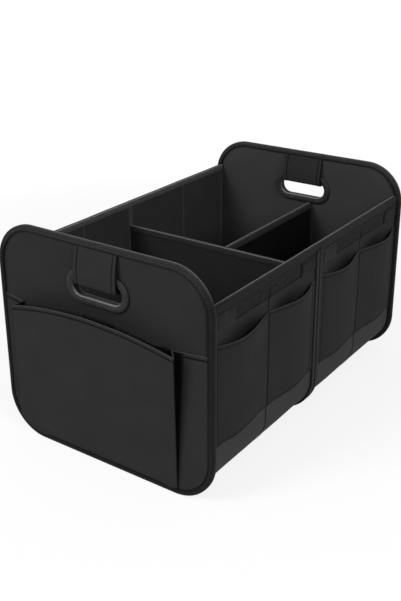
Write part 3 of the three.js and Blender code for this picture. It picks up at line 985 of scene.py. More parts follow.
@dataclass(frozen=True)
class ThreadFinish(Finish):
    """Twisted sewing thread."""

    def wire(self, wiring: Wiring) -> None:
        """Twists the thread with slanted ribs, by its place in the organizer, and paints shade in the valleys
        between them.
        """
        place = wiring.scaled(wiring.node("ShaderNodeTexCoord").outputs["Object"], 1.0 / MM)
        ribs = TAPE_RIBS.put(wiring, Place=place, Pitch=0.7)
        # Painted shade in the valleys of the twist.
        colour = wiring.mix(ribs["Valley"], grey(self.level), grey(self.level * 0.6))
        normal = wiring.bump(ribs["Height"], 0.00005, 0.6)
        wiring.principled(colour, 0.8, normal, Sheen_Weight=0.03, Specular_IOR_Level=0.05)


OUTER_CLOTH = ClothFinish("outer_cloth", "outer_cloth", 47.0)
POCKET_CLOTH = ClothFinish("pocket_cloth", "outer_cloth", 47.5)
SIDE_POCKET_CLOTH = ClothFinish("side_pocket_cloth", "outer_cloth", 45.5)
STRAP_CLOTH = ClothFinish("strap_cloth", "outer_cloth", 48.0)
FACING_CLOTH = ClothFinish("facing_cloth", "outer_cloth", 37.0, pitch=1.1, spread=5.0, cloud=6.0)
# The two linings are one cloth. Both are painted lighter than its own grey, the end lining most, as painted
# light inside the organizer.
END_LINING = ClothFinish("end_lining", "lining_cloth", 64.0)
BAND_LINING = ClothFinish("band_lining", "lining_cloth", 52.0)
DIVIDER_CLOTH = ClothFinish("divider_cloth", "divider_cloth", 42.0)
DARK_DIVIDER_CLOTH = ClothFinish("dark_divider_cloth", "divider_cloth", 8.0)
END_TAPE = TapeFinish("end_binding_tape", "binding_tape", 15.0, pitch=3.4, wear_and_highlight_level=112.0)
WALL_TAPE = TapeFinish("wall_tape", "binding_tape", 28.0, pitch=2.4, wear_and_highlight_level=140.0)
DIVIDER_TAPE = TapeFinish("divider_tape", "binding_tape", 46.0, pitch=2.0, wear_and_highlight_level=100.0)
LOOP_PATCH = PileFinish("loop_patch", "hook_and_loop", 34.0, tuft=1.3)
HOOK_PATCH = PileFinish("hook_patch", "hook_and_loop", 14.0, tuft=0.9, tip_level=26.0)
GRIP_PLASTIC = MouldedFinish("grip_plastic", "moulded_grip", 47.0)
PRESSED_BOARD = BoardFinish("pressed_board", "stiff_board", 60.0)
DARK_THREAD = ThreadFinish("dark_thread", "binding_tape", 8.0)
LIGHT_THREAD = ThreadFinish("light_thread", "binding_tape", 60.0)


def make_object(
    name: str, shape: Shape, placement: Placement, finish: Finish, node: str | None = None
) -> bpy.types.Object:
    """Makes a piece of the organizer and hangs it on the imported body.

    Args:
        name: The piece's name.
        shape: Its mesh, in its sub-assembly's own frame.
        placement: Where that frame stands.
        finish: What it is made of.
        node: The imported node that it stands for, if any.

    Returns:
        The new object.
    """
    mesh = bpy.data.meshes.new(name)
    mesh.from_pydata((placement.apply(shape.points) * MM).tolist(), [], shape.outward().tolist())
    mesh.polygons.foreach_set("use_smooth", np.ones(len(mesh.polygons), dtype=bool))
    mesh.set_sharp_from_angle(angle=math.radians(SHARP_DEGREES))
    place = mesh.attributes.new(PLACE, "FLOAT_VECTOR", "POINT")
    place.data.foreach_set("vector", np.pad(shape.flat, ((0, 0), (0, 1))).ravel())
    for mark, values in shape.marks.items():
        kept = mesh.attributes.new(mark, "FLOAT", "POINT")
        kept.data.foreach_set("value", np.clip(values, 0.0, 1.0))
    mesh.materials.append(finish.material())
    made = bpy.data.objects.new(name, mesh)
    bpy.context.scene.collection.objects.link(made)
    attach(made, BODY)
    if node is not None:
        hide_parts(node)
    log.info("%s: %d faces, %s", name, len(mesh.polygons), finish.name)
    return made


def make_stitches(
    name: str, rows: list[Shape], placement: Placement, finish: Finish = DARK_THREAD
) -> bpy.types.Object:
    """Makes rows of stitches into one piece."""
    return make_object(name, Shape.joined(rows), placement, finish)


@dataclass
class EndPart:
    """What every piece of an end panel knows. In its own frame the outermost face is at Y = 0."""

    end: End
    top_radius: float = 66.0
    bottom_radius: float = 66.0
    tape_width: float = 9.0
    seam: float = 0.3

    def __post_init__(self) -> None:
        """Reads the panel's sizes from the frame's front end, which both ends share."""
        low, high = node_box("end_binding_front")
        self.front_y = low[1]
        self.thickness = high[1] - low[1]
        self.panel = RoundedBox(low[0], high[0], low[2], high[2], self.bottom_radius, self.top_radius)
        ring_low, ring_high = node_box("grip_ring_outer_front")
        self.grip_radius = (ring_high[2] - ring_low[2]) / 2.0
        self.grip = RoundedBox(
            ring_low[0], ring_high[0], ring_low[2], ring_high[2], self.grip_radius, self.grip_radius
        )
        cloth_low, cloth_high = node_box("end_cloth_front")
        lining_low, lining_high = node_box("end_lining_front")
        self.cloth_face = cloth_low[1] - self.front_y
        self.cloth_thickness = cloth_high[1] - cloth_low[1]
        self.lining_face = lining_low[1] - self.front_y
        self.lining_back = lining_high[1] - self.front_y
        self.layer_inset = cloth_low[0] - low[0]
        self.placement = Placement(self.end is End.REAR, self.front_y)

    def named(self, part: str) -> str:
        """A piece's name at this end."""
        return f"{part}_{self.end.value}"


@dataclass
class EndSheets(EndPart):
    """The outer cloth and the lining of an end panel, each a sheet round the grip's slot."""

    slot_inset: float = 8.2
    columns: int = 32
    spacing: float = 7.0
    puff: float = 0.7
    pocket_top: float = 227.0
    pocket_arch: float = 18.0
    pocket_half: float = 143.0
    pocket_depth: float = 24.0
    mouth_gap: float = 14.2  # how far below the mouth the cloth is still lit
    wedge_start: float = 90.0
    wedge_end: float = 124.0

    def grid(self) -> tuple[Array, Array]:
        """Fans a grid out from the slot to the panel's edge.

        Returns:
            The grid's points in XZ by row and column, and the distance of each from the slot's edge.
        """
        outline = self.panel.inside(self.layer_inset).outline(self.spacing).points
        centre = np.array([0.0, (self.grip.low + self.grip.high) / 2.0])
        way = unit(outline - centre)
        radius = self.grip_radius - self.slot_inset
        half = (self.grip.right - self.grip.left) / 2.0 - self.grip_radius
        to_flat = radius / np.maximum(np.abs(way[:, 1]), 1e-9)
        reach = half * np.abs(way[:, 0])
        to_round = reach + np.sqrt(np.maximum(reach**2 - half**2 + radius**2, 0.0))
        distance = np.where(to_flat * np.abs(way[:, 0]) <= half, to_flat, to_round)
        slot = centre + way * distance[:, None]
        reach = np.linalg.norm(outline - slot, axis=-1)[:, None, None]
        under_tape = np.array([11.5, 9.6, 8.2, 6.0, 0.0])[None, :, None] - self.layer_inset
        shares = np.linspace(0.0, 1.0, self.columns)[None, :, None]
        open_reach = reach - under_tape[:, :1]
        steps = np.concatenate([open_reach * shares[:, :-1], reach - np.maximum(under_tape, 0.0)], axis=1)
        points = slot[:, None] + way[:, None] * steps
        return points, np.linalg.norm(points - slot[:, None], axis=-1)

    def mouth_shade(self, across: Array, up: Array) -> Array:
        """How deep the outer cloth lies in the shade of the pocket's mouth.

        Args:
            across: The place of each point across the panel.
            up: Its height.

        Returns:
            The shade at each point.
        """
        over = across + self.pocket_depth * 0.7
        mouth = self.pocket_top + self.pocket_arch * (1.0 - np.clip(over / self.pocket_half, -1.0, 1.0) ** 2)
        clear = self.mouth_gap - 9.0 * smooth_step(self.wedge_start, self.wedge_end, across)
        return smooth_step(1.5, -1.5, up - mouth + clear)

    def build(self) -> None:
        """Makes both sheets, a little full where nothing holds them down."""
        points, from_slot = self.grid()
        across, up = points[..., 0], points[..., 1]
        to_edge = from_slot[:, -1:] - from_slot
        free = smooth_step(9.0, 34.0, from_slot) * smooth_step(8.0, 40.0, to_edge)
        under_strap = smooth_step(50.0, 40.0, np.abs(across)) * smooth_step(292.0, 300.0, up)
        above_pocket = smooth_step(236.0, 262.0, up)
        # Painted shade: a dark line on the cloth beside the binding's inner edge.
        binding_gap_shade = smooth_step(self.tape_width + 3.2, self.tape_width + 1.2, to_edge + self.layer_inset)
        shades = {Face.OUTER: self.mouth_shade(across, up), Face.INNER: 0.0}
        beside_strap = 1.0 - under_strap
        layers = {
            "end_cloth": (Face.OUTER, self.cloth_face, OUTER_CLOTH, above_pocket * beside_strap),
            "end_lining": (Face.INNER, self.lining_face, END_LINING, beside_strap),
        }
        for part, (face, start, finish, loose) in layers.items():
            # Painted shade beside the binding and, on the outer cloth, under the pocket's mouth.
            marks = {PAINTED_SHADE: 0.95 * np.maximum(binding_gap_shade, shades[face])}
            wave = 0.6 + 0.4 * ripple(across, up, 130.0, 11 + face.value)
            fine = 0.12 * ripple(across, up, 34.0, 17 + face.value)
            bulge = (self.puff * wave + fine) * free * loose
            depth = start + self.cloth_thickness / 2.0 + face.value * bulge
            mid = standing(points, depth)
            shape = sheet_shape(mid, self.cloth_thickness, closed=True, flat=points, marks=marks)
            made = make_object(
                self.named(part + "_sheet"), shape, self.placement, finish, self.named(part)
            )
            self.named("end_board")


@dataclass
class EndBinding(EndPart):
    """Ribbed tape folded over the edge of an end panel and sewn through."""

    rib_pitch: float = 3.4
    rib_height: float = 0.3
    rib_slant: float = 0.35
    rows_per_rib: int = 3
    tape: float = 1.5
    stitch_inset: float = 7.2

    def section(self) -> Array:
        """The fold's section: inset from the panel's edge and depth, and how high ribs stand there."""
        t, w, d = self.tape, self.tape_width, self.thickness
        near = [(w, 0.5, 0.3), (w - 1.0, -0.05, 0.6), (w - 1.8, 0.2, 0.3), (w - 2.8, -0.12, 0.8)]
        near += [(4.0, -0.2, 0.9), (2.2, -0.05, 1.0), (1.0, 0.4, 0.8), (0.25, 1.3, 0.5), (0.0, d * 0.35, 0.4)]
        outside = near + [(inset, d - depth, rib) for inset, depth, rib in reversed(near)]
        inside = [(w, d - t, 0.0), (t, d - t, 0.0), (t, t, 0.0), (w, t, 0.0)]
        return np.array(outside + inside)

    def build(self) -> None:
        """Makes the tape and the two rows of stitches that hold it."""
        line = self.panel.outline(self.rib_pitch / self.rows_per_rib)
        along = line.lengths()
        total = along[-1] + float(np.linalg.norm(line.points[0] - line.points[-1]))
        pitch = total / round(total / self.rib_pitch)
        section = self.section()
        across = travelled(section[:, :2])
        ahead = unit(np.roll(section[:, :2], -1, axis=0) - np.roll(section[:, :2], 1, axis=0))
        outward = np.stack([-ahead[:, 1], ahead[:, 0]], axis=-1)
        phase = math.pi * (along[:, None] + self.rib_slant * across[None, :]) / pitch
        crest = np.abs(np.sin(phase))
        rib = self.rib_height * (crest - 0.5) * section[None, :, 2]
        moved = section[None, :, :2] + rib[..., None] * outward[None]
        flat_line = line.points[:, None, :] - line.normals[:, None, :] * moved[..., :1]
        loops = standing(flat_line, moved[..., 1])
        shown = section[:, 2] > 0.0
        inner_half = section[:, 1] > self.thickness / 2.0
        # Painted highlights: rib crests on the tape's face and its fold, lighter on runs that face up;
        # painted shade in the valleys between the ribs.
        face = smooth_step(self.tape_width, self.tape_width - 3.0, section[:, 0]) * shown
        face = face * np.where(inner_half, 0.5, 0.32)
        # The half of the fold that gets the painted highlight differs between the ends.
        lightened = inner_half if self.end is End.FRONT else ~inner_half
        fold = 0.7 * smooth_step(0.9, 0.2, section[:, 0]) * shown * lightened
        upward = smooth_step(0.2, 0.9, line.normals[:, 1])[:, None]
        ribs_lit = face[None, :] * (0.35 + 0.65 * upward) * smooth_step(0.5, 0.95, crest)
        edge = np.maximum(ribs_lit, fold[None, :] * upward)
        valley = 0.8 * smooth_step(0.75, 0.2, crest) * shown[None, :]
        shape = swept_shape(loops, True, by_section(across, along), {WEAR_AND_HIGHLIGHT: edge, PAINTED_SHADE: valley})
        make_object(self.named("end_tape"), shape, self.placement, END_TAPE, self.named("end_binding"))
        way = line.offset(-self.stitch_inset)
        faces = ((0.1, OUT), (self.thickness - 0.1, IN))
        rows = [THREAD.row(standing(way, depth), away) for depth, away in faces]
        make_stitches(self.named("end_tape_stitches"), rows, self.placement)


@dataclass
class GripRings(EndPart):
    """The moulded ring on each face of an end panel, round the slot."""

    rim: float = 11.0
    proud: float = 4.5
    collar: float = 2.5
    spacing: float = 1.6
    crown: ClassVar[tuple] = (
        (0.0, 0.0), (0.0, 0.26), (0.02, 0.5), (0.07, 0.72), (0.15, 0.9), (0.27, 0.98), (0.42, 1.0),
        (0.56, 0.98), (0.66, 0.93), (0.71, 0.86), (0.75, 0.84), (0.79, 0.88), (0.85, 0.86),
        (0.92, 0.74), (0.97, 0.54), (1.0, 0.3),
    )  # shares of the rim's width and of how proud it stands

    def build(self) -> None:
        """Makes both rings, each with a crowned rim, a lip inside it and a collar."""
        faces = {
            Face.OUTER: ("grip_ring_outer", self.cloth_face - self.seam),
            Face.INNER: ("grip_ring_inner", self.lining_back + self.seam),
        }
        line = self.grip.outline(self.spacing)
        middle = (self.cloth_face + self.lining_back) / 2.0
        for face, (part, seat) in faces.items():
            collar_end = middle + face.value * self.seam / 2.0
            proud = face.value * self.proud
            crown = [(share * self.rim, seat + height * proud) for share, height in self.crown]
            inner = self.rim - self.collar
            collar = [(self.rim, seat), (self.rim, collar_end), (inner, collar_end), (inner, seat)]
            section = np.array(crown + collar)
            flat_line = line.points[:, None, :] - line.normals[:, None, :] * section[None, :, :1]
            loops = standing(flat_line, section[None, :, 1])
            flat = by_section(travelled(section), line.lengths())
            # Painted highlight along the lip, brighter on runs whose lip faces up and dim on the front's
            # inner ring; painted shade at the rim's outer contact edge and over the collar inside the slot.
            count = len(self.crown)
            lip = np.zeros(len(section))
            lip[count - 3 : count] = (0.5, 1.0, 0.6)
            facing_up = 0.25 + 0.6 * smooth_step(-0.2, -0.9, line.normals[:, 1])
            if face is Face.INNER and self.end is End.FRONT:
                facing_up = facing_up * 0.1
            edge = lip[None, :] * facing_up[:, None]
            shade = np.zeros(len(section))
            shade[:2] = (1.0, 0.6)
            shade[count:] = 1.0
            marks = {WEAR_AND_HIGHLIGHT: edge, PAINTED_SHADE: np.broadcast_to(shade, flat_line.shape[:2])}
            shape = swept_shape(loops, True, flat, marks)
            make_object(self.named(part + "_rim"), shape, self.placement, GRIP_PLASTIC, self.named(part))


def spline(points: Array, steps: int) -> Array:
    """Draws an even spline through points.

    Args:
        points: The points that it passes.
        steps: How many stretches it is drawn in.

    Returns:
        The spline's points.
    """
    places = np.linspace(0.0, len(points) - 1.0, steps + 1)
    index = np.minimum(places.astype(int), len(points) - 1)
    share = (places - index)[:, None]
    last = len(points) - 1
    before, start = points[np.maximum(index - 1, 0)], points[index]
    end, after = points[np.minimum(index + 1, last)], points[np.minimum(index + 2, last)]
    leave, arrive = (end - before) / 2.0, (after - start) / 2.0
    cubic = (2.0 * start - 2.0 * end + leave + arrive) * share**3
    square = (-3.0 * start + 3.0 * end - 2.0 * leave - arrive) * share**2
    return cubic + square + leave * share + start


@dataclass
class GripStrap(EndPart):
    """The cloth strap that hangs from the top seam, goes round the grip's upper bar and back up inside."""

    strap: float = 2.0
    proud: float = 1.2
    ring_proud: float = 4.5
    turn: float = 3.0
    ease: float = 0.4
    hem: float = 7.0
    rows: int = 90
    columns: int = 41
    hang: ClassVar[dict[End, float]] = {End.FRONT: 6.0, End.REAR: 0.0}  # how far it hangs below its node

    def path(self) -> Array:
        """The strap's middle line as depth and height, from its outer end to its inner one."""
        half = self.strap / 2.0
        outer_seat = self.cloth_face - self.seam - half
        inner_seat = self.lining_back + self.seam + half
        outer = outer_seat - self.ring_proud - self.proud
        inner = inner_seat + self.ring_proud + self.proud
        seam_z = self.panel.high - self.tape_width - self.seam
        top = self.grip.high
        under = node_box(self.named("grip_strap"))[0][2] + half + self.ease / 4.0 - self.hang[self.end]
        middle = (outer + inner) / 2.0
        turn = (inner - outer) / 5.0
        upper, lower = seam_z + (top - seam_z) * 0.33, seam_z + (top - seam_z) * 0.67
        points = [
            (outer_seat, seam_z),
            (outer_seat + (outer - outer_seat) * 0.38, upper),
            (outer_seat + (outer - outer_seat) * 0.72, lower),
            (outer, top - half),
            (outer + self.ease, under + self.turn),
            (outer + turn, under),
            (middle, under - self.ease / 4),
            (inner - turn, under),
            (inner - self.ease, under + self.turn),
            (inner, top - half),
            (inner_seat + (inner - inner_seat) * 0.75, lower),
            (inner_seat + (inner - inner_seat) * 0.35, upper),
            (inner_seat, seam_z),
        ]
        return spline(np.array(points), self.rows)

    def build(self) -> None:
        """Makes the strap, with folded and sewn side edges and a soft crown."""
        left, right = node_box("grip_strap_front")[0][0], node_box("grip_strap_front")[1][0]
        across = np.linspace(left, right, self.columns)
        steps = np.array([0.9, 5.8, 7.0, 8.2])
        across = np.unique(np.concatenate([across, left + steps, right - steps]))
        path = self.path()
        share = np.linspace(0.0, 1.0, len(path))[:, None]
        free = [np.sin(np.pi * np.clip(part * 2.4, 0.0, 1.0)) for part in (share, 1.0 - share)]
        outward = np.where(share < 0.5, -1.0, 1.0) * (free[0] + free[1])
        crown = 0.5 * (1.0 - (across[None, :] / right) ** 2)
        wrinkle = 0.08 * ripple(across[None, :], share * 190.0, 30.0, 5)
        depth = path[:, :1] + outward * (crown + wrinkle)
        up = np.broadcast_to(path[:, 1:], depth.shape)
        mid = np.stack([np.broadcast_to(across[None, :], depth.shape), depth, up], axis=-1)
        to_edge = right - np.abs(across)[None, :]
        hem = smooth_step(self.hem + 0.6, self.hem - 0.6, to_edge)
        groove = bump_at(self.hem, 1.5, to_edge)
        thick = np.broadcast_to(self.strap + 0.5 * hem - 0.6 * groove, depth.shape)
        # Painted shade along the stitch groove and at the strap's side edges.
        seam = 0.9 * np.maximum(groove, smooth_step(0.8, 0.1, to_edge))
        shape = sheet_shape(mid, thick, marks={PAINTED_SHADE: np.broadcast_to(seam, depth.shape)})
        name = self.named("grip_strap_cloth")
        made = make_object(name, shape, self.placement, STRAP_CLOTH, self.named("grip_strap"))
        normals = surface_normals(mid, False)
        rows = []
        for at in (left + self.hem, right - self.hem):
            column = int(np.argmin(np.abs(across - at)))
            line = mid[:, column].copy()
            line[:, 0] = at
            away = normals[:, column] * np.sign((normals[3, column] * OUT).sum())
            rows.append(THREAD.row(line[2:-2] + away[2:-2] * (self.strap / 2.0 - 0.1), away[2:-2]))
        stitches = make_stitches(self.named("grip_strap_stitches"), rows, self.placement)
        self.named("grip_ring_outer_rim")


@dataclass(frozen=True)
class Pleat:
    """One side fold of the bellows pocket: where its inner fold is, and the leaf's corner beyond it."""

    top: float
    bottom: float
    spread: float
    drop: float  # how far the strip's upper edge lies below the leaf's at the fold
    rise: float  # how far it rises from there to the bound edge
    bottom_spread: float = 2.0
    margin: float = 4.0

    def at(self, rise: float, reach: float) -> tuple[float, float]:
        """Where the pleat is at a level.

        Args:
            rise: How high the level is, from 0 to 1.
            reach: Where the cloth meets the bound edge.

        Returns:
            The distance of the inner fold and of the leaf's corner from the middle.
        """
        fold = min(self.bottom + (self.top - self.bottom) * rise, reach - self.margin)
        return fold, fold + self.bottom_spread + (self.spread - self.bottom_spread) * rise**1.1


@dataclass
class BellowsPocket(EndPart):
    """The full-width pocket on an end panel. Its sides fold in pleats, so that its leaf stands out."""

    cloth: float = 1.2
    top: float = 227.0
    arch: float = 18.0
    depth: float = 24.0
    bulge: float = 4.0
    tuck: float = 0.1  # share of the height in which the leaf goes in to its sewn lower edge
    left: Pleat = Pleat(145.5, 166.0, 0.5, 1.8, 5.8)
    right: Pleat = Pleat(125.0, 129.0, 18.0, 4.0, 6.0)
    pleat_radius: float = 0.8
    pleat_gap: float = 0.4
    hem: float = 7.0
    fold_points: int = 6
    panel_points: int = 8
    strip_points: int = 8
    wedge_points: int = 7
    leaf_points: int = 64
    lower_rows: int = 44

    def reach(self, up: float) -> float:
        """How far from the middle the cloth reaches at a height before it meets the bound edge."""
        radius = self.bottom_radius - self.tape_width - self.seam
        below = min(max(self.bottom_radius - up, 0.0), radius)
        return self.panel.right - self.bottom_radius + math.sqrt(radius**2 - below**2)

    def side(self, pleat: Pleat, rise: float, reach: float, out: float) -> tuple[Array, Array, Array]:
        """One side of the pocket at a level, drawn as on the left.

        Args:
            pleat: The side's pleat.
            rise: How high the level is.
            reach: Where the cloth meets the bound edge.
            out: How far the leaf's corner stands out.

        Returns:
            The place across and the distance out of each point, the height of its upper edge, and how
            deep it lies in the pleat's shade.
        """
        fold, tip = pleat.at(rise, reach)
        seat = self.seam + self.cloth / 2.0
        r = self.pleat_radius
        inner = np.array([-fold - r, seat + r])
        corner = np.array([-tip + r, out - r])
        between = corner - inner
        heading = math.atan2(between[1], between[0]) + math.asin(2.0 * r / float(np.hypot(*between)))
        quarter = math.pi / 2.0
        turn_in = np.linspace(-quarter, heading - quarter, self.fold_points)
        turn_out = np.linspace(heading + quarter, quarter, self.fold_points)
        fold_in = inner + r * np.stack([np.cos(turn_in), np.sin(turn_in)], axis=-1)
        fold_out = corner + r * np.stack([np.cos(turn_out), np.sin(turn_out)], axis=-1)
        panel = np.linspace(fold_in[-1], fold_out[0], self.panel_points)[1:-1]
        wedge = max(min(tip + 3.0, reach - 2.0), fold + r + 0.5)
        bound = np.linspace(reach, wedge, self.strip_points)[:-1]
        places = np.concatenate([bound, np.linspace(wedge, fold + r, self.wedge_points)[:-1]])
        strip = np.stack([-places, np.full(len(places), seat)], axis=-1)
        points = np.concatenate([strip, fold_in, panel, fold_out])
        share = np.clip((places - fold) / max(reach - fold, 1e-6), 0.0, 1.0)
        low = self.top - pleat.drop
        over = np.linspace(0.0, 1.0, len(points) - len(places))
        tops = np.concatenate([low + pleat.rise * share, low + pleat.drop * over])
        # Painted shade on the strip behind the leaf's corner, fading out at the very bottom, and over the
        # pleat's inner fold and panel.
        wedge_shade = smooth_step(tip + 2.5, tip - 2.0, places) * min(1.0, rise * 12.0)
        panel_shade = smooth_step(1.0, 0.75, over)
        return points, tops, np.concatenate([wedge_shade, panel_shade])

    def level(self, rise: float) -> tuple[Array, Array, Array]:
        """One level of the pocket, from the left binding to the right one.

        Args:
            rise: How high the level is, from 0 at the bottom to 1 at the upper edge.

        Returns:
            The place across and the distance out of each point, the height of its upper edge, and its
            shade.
        """
        bottom = self.tape_width + self.seam
        reach = self.reach(bottom + rise * (self.top - self.right.drop - bottom))
        folded = self.seam + self.cloth / 2.0 + 2.0 * (self.cloth + self.pleat_gap)
        out = folded + (self.depth - folded) * rise**1.1
        left, left_tops, left_shade = self.side(self.left, rise, reach, out)
        right, right_tops, right_shade = self.side(self.right, rise, reach, out)
        share = np.linspace(0.0, 1.0, self.leaf_points)[1:-1]
        start = self.pleat_radius - self.left.at(rise, reach)[1]
        end = self.right.at(rise, reach)[1] - self.pleat_radius
        across = 2.0 * share - 1.0
        crown = np.cos(across * math.pi / 2.0)
        place = start + (end - start) * share
        slump = 0.5 * ripple(place, np.full_like(place, rise * 220.0), 95.0, 31) * crown * rise
        tucked = (folded - self.seam - self.cloth / 2.0) * smooth_step(self.tuck, 0.0, rise)
        tucked = tucked * smooth_step(0.96, 0.84, np.abs(across))
        leaf = np.stack([place, out + self.bulge * crown * rise + slump - tucked], axis=-1)
        leaf_tops = self.top + self.arch * (1.0 - across**2)
        points = np.concatenate([left, leaf, right[::-1] * (-1.0, 1.0)])
        shade = np.concatenate([left_shade, np.zeros(len(leaf)), right_shade[::-1]])
        return points, np.concatenate([left_tops, leaf_tops, right_tops[::-1]]), shade

    def build(self) -> None:
        """Makes the pocket with its hem, and the stitches along the hem."""
        bottom = self.tape_width + self.seam
        height = self.top - bottom
        near_top = np.array([0.0, 1.0, 1.7, 2.6, 3.8, 4.8, 5.5, 6.1, 6.8, 7.6, 8.6, 10.0, 12.5])
        lower = 12.5 + (height - 12.5) * np.linspace(0.0, 1.0, self.lower_rows)[1:] ** 0.85
        rises = 1.0 - np.concatenate([near_top, lower]) / height
        levels = [self.level(float(max(rise, 0.0))) for rise in rises]
        flat_points = np.stack([points for points, _, _ in levels])
        tops = np.stack([top for _, top, _ in levels])
        shade = np.stack([shade for _, _, shade in levels])
        up = bottom + rises[:, None] * (tops - bottom)
        mid = np.stack([flat_points[..., 0], self.cloth_face - flat_points[..., 1], up], axis=-1)
        below = tops - up
        groove = bump_at(self.hem - 0.9, 2.2, below)
        thick = self.cloth + 0.7 * smooth_step(self.hem + 0.6, self.hem - 0.4, below) - 0.75 * groove
        # Painted highlight along the leaf's top edge; painted shade along the hem's stitch groove and in the
        # pleats.
        marks = {WEAR_AND_HIGHLIGHT: 0.5 * smooth_step(0.9, 0.1, below), PAINTED_SHADE: np.maximum(groove, 0.95 * shade)}
        shape = sheet_shape(mid, thick, marks=marks)
        name = self.named("end_pocket_cloth")
        made = make_object(name, shape, self.placement, POCKET_CLOTH, self.named("end_pocket"))
        row = int(np.argmin(np.abs(near_top - (self.hem - 0.9))))
        normals = surface_normals(mid, False)[row]
        middle = normals.shape[0] // 2
        away = normals * np.sign((normals[middle] * OUT).sum())
        hem = HEM_THREAD.row(mid[row] + away * 0.6, away)
        stitches = make_stitches(self.named("end_pocket_stitches"), [hem], self.placement)
        self.named("end_cloth_sheet")


@dataclass
class BandPart:
    """What the pieces of the soft band know: it makes both walls and the floor."""

    seam: float = 0.3
    bottom_radius: float = 66.0
    floor_step: float = 1.0  # how much wider the spacing is on the floor than on the walls

    def __post_init__(self) -> None:
        """Reads the band's sizes from the frame."""
        low, high = node_box("band_cloth_front")
        self.wall_x = high[0]
        self.floor = low[2]
        self.layer_top = high[2]
        self.end_y = -low[1]
        self.radius = self.bottom_radius - (node_box("end_binding_front")[1][0] - self.wall_x)
        lining_low, lining_high = node_box("band_lining_front")
        self.lining_inset = self.wall_x - lining_high[0]
        self.lining_end_y = -lining_low[1]
        self.top_tape_low = node_box("wall_top_tape_right_front")[0][2]

    def line(self, top: float, spacing: float, inset: float = 0.0) -> Line:
        """The band's line in XZ, from the top of one wall down, along the floor and up the other.

        Args:
            top: Height of both ends.
            spacing: Wanted distance between points.
            inset: How far inside the band's outer face the line runs.

        Returns:
            The line, with outward normals.
        """
        x, z, r = self.wall_x - inset, self.floor + inset, self.radius - inset
        stretches = [
            straight((-x, top), (-x, z + r), (-1, 0), spacing),
            arc((-x + r, z + r), r, 180, 270, spacing),
            straight((-x + r, z), (x - r, z), (0, -1), spacing * self.floor_step),
            arc((x - r, z + r), r, 270, 360, spacing),
            straight((x, z + r), (x, top), (1, 0), spacing),
            Line(np.array([[x, top]]), np.array([[1.0, 0.0]])),
        ]
        return joined_line(stretches)

    @staticmethod
    def placement(half: End) -> Placement:
        """Where the half of the band next to an end stands."""
        return Placement(half is End.REAR)


@dataclass(frozen=True)
class PocketLine:
    """Where the side pockets of a wall half are, by distances from the middle of the organizer."""

    near: float
    far: float
    seam: float = 143.0
    strip: float = 8.0

    def share(self, distance: Array) -> Array:
        """How far each distance is from a pocket's outer seam, at 0, to the shared seam, at 1."""
        outer = (self.far - self.strip - distance) / (self.far - self.strip - self.seam)
        inner = (distance - self.near - self.strip) / (self.seam - self.near - self.strip)
        return np.clip(np.where(distance > self.seam, outer, inner), 0.0, 1.0)

    def fullness(self, distance: Array) -> Array:
        """How full the pockets are at distances from the middle, from 0 to 1."""
        return np.maximum(np.sin(np.pi * self.share(distance) ** 0.8), 0.0) ** 1.3

    def gloom(self, distance: Array) -> Array:
        """How deep the painted shade behind the pockets' mouths is, from 0 to 1, most towards the shared
        seam.
        """
        return np.maximum(np.sin(np.pi * self.share(distance) ** 1.4), 0.0) ** 1.5


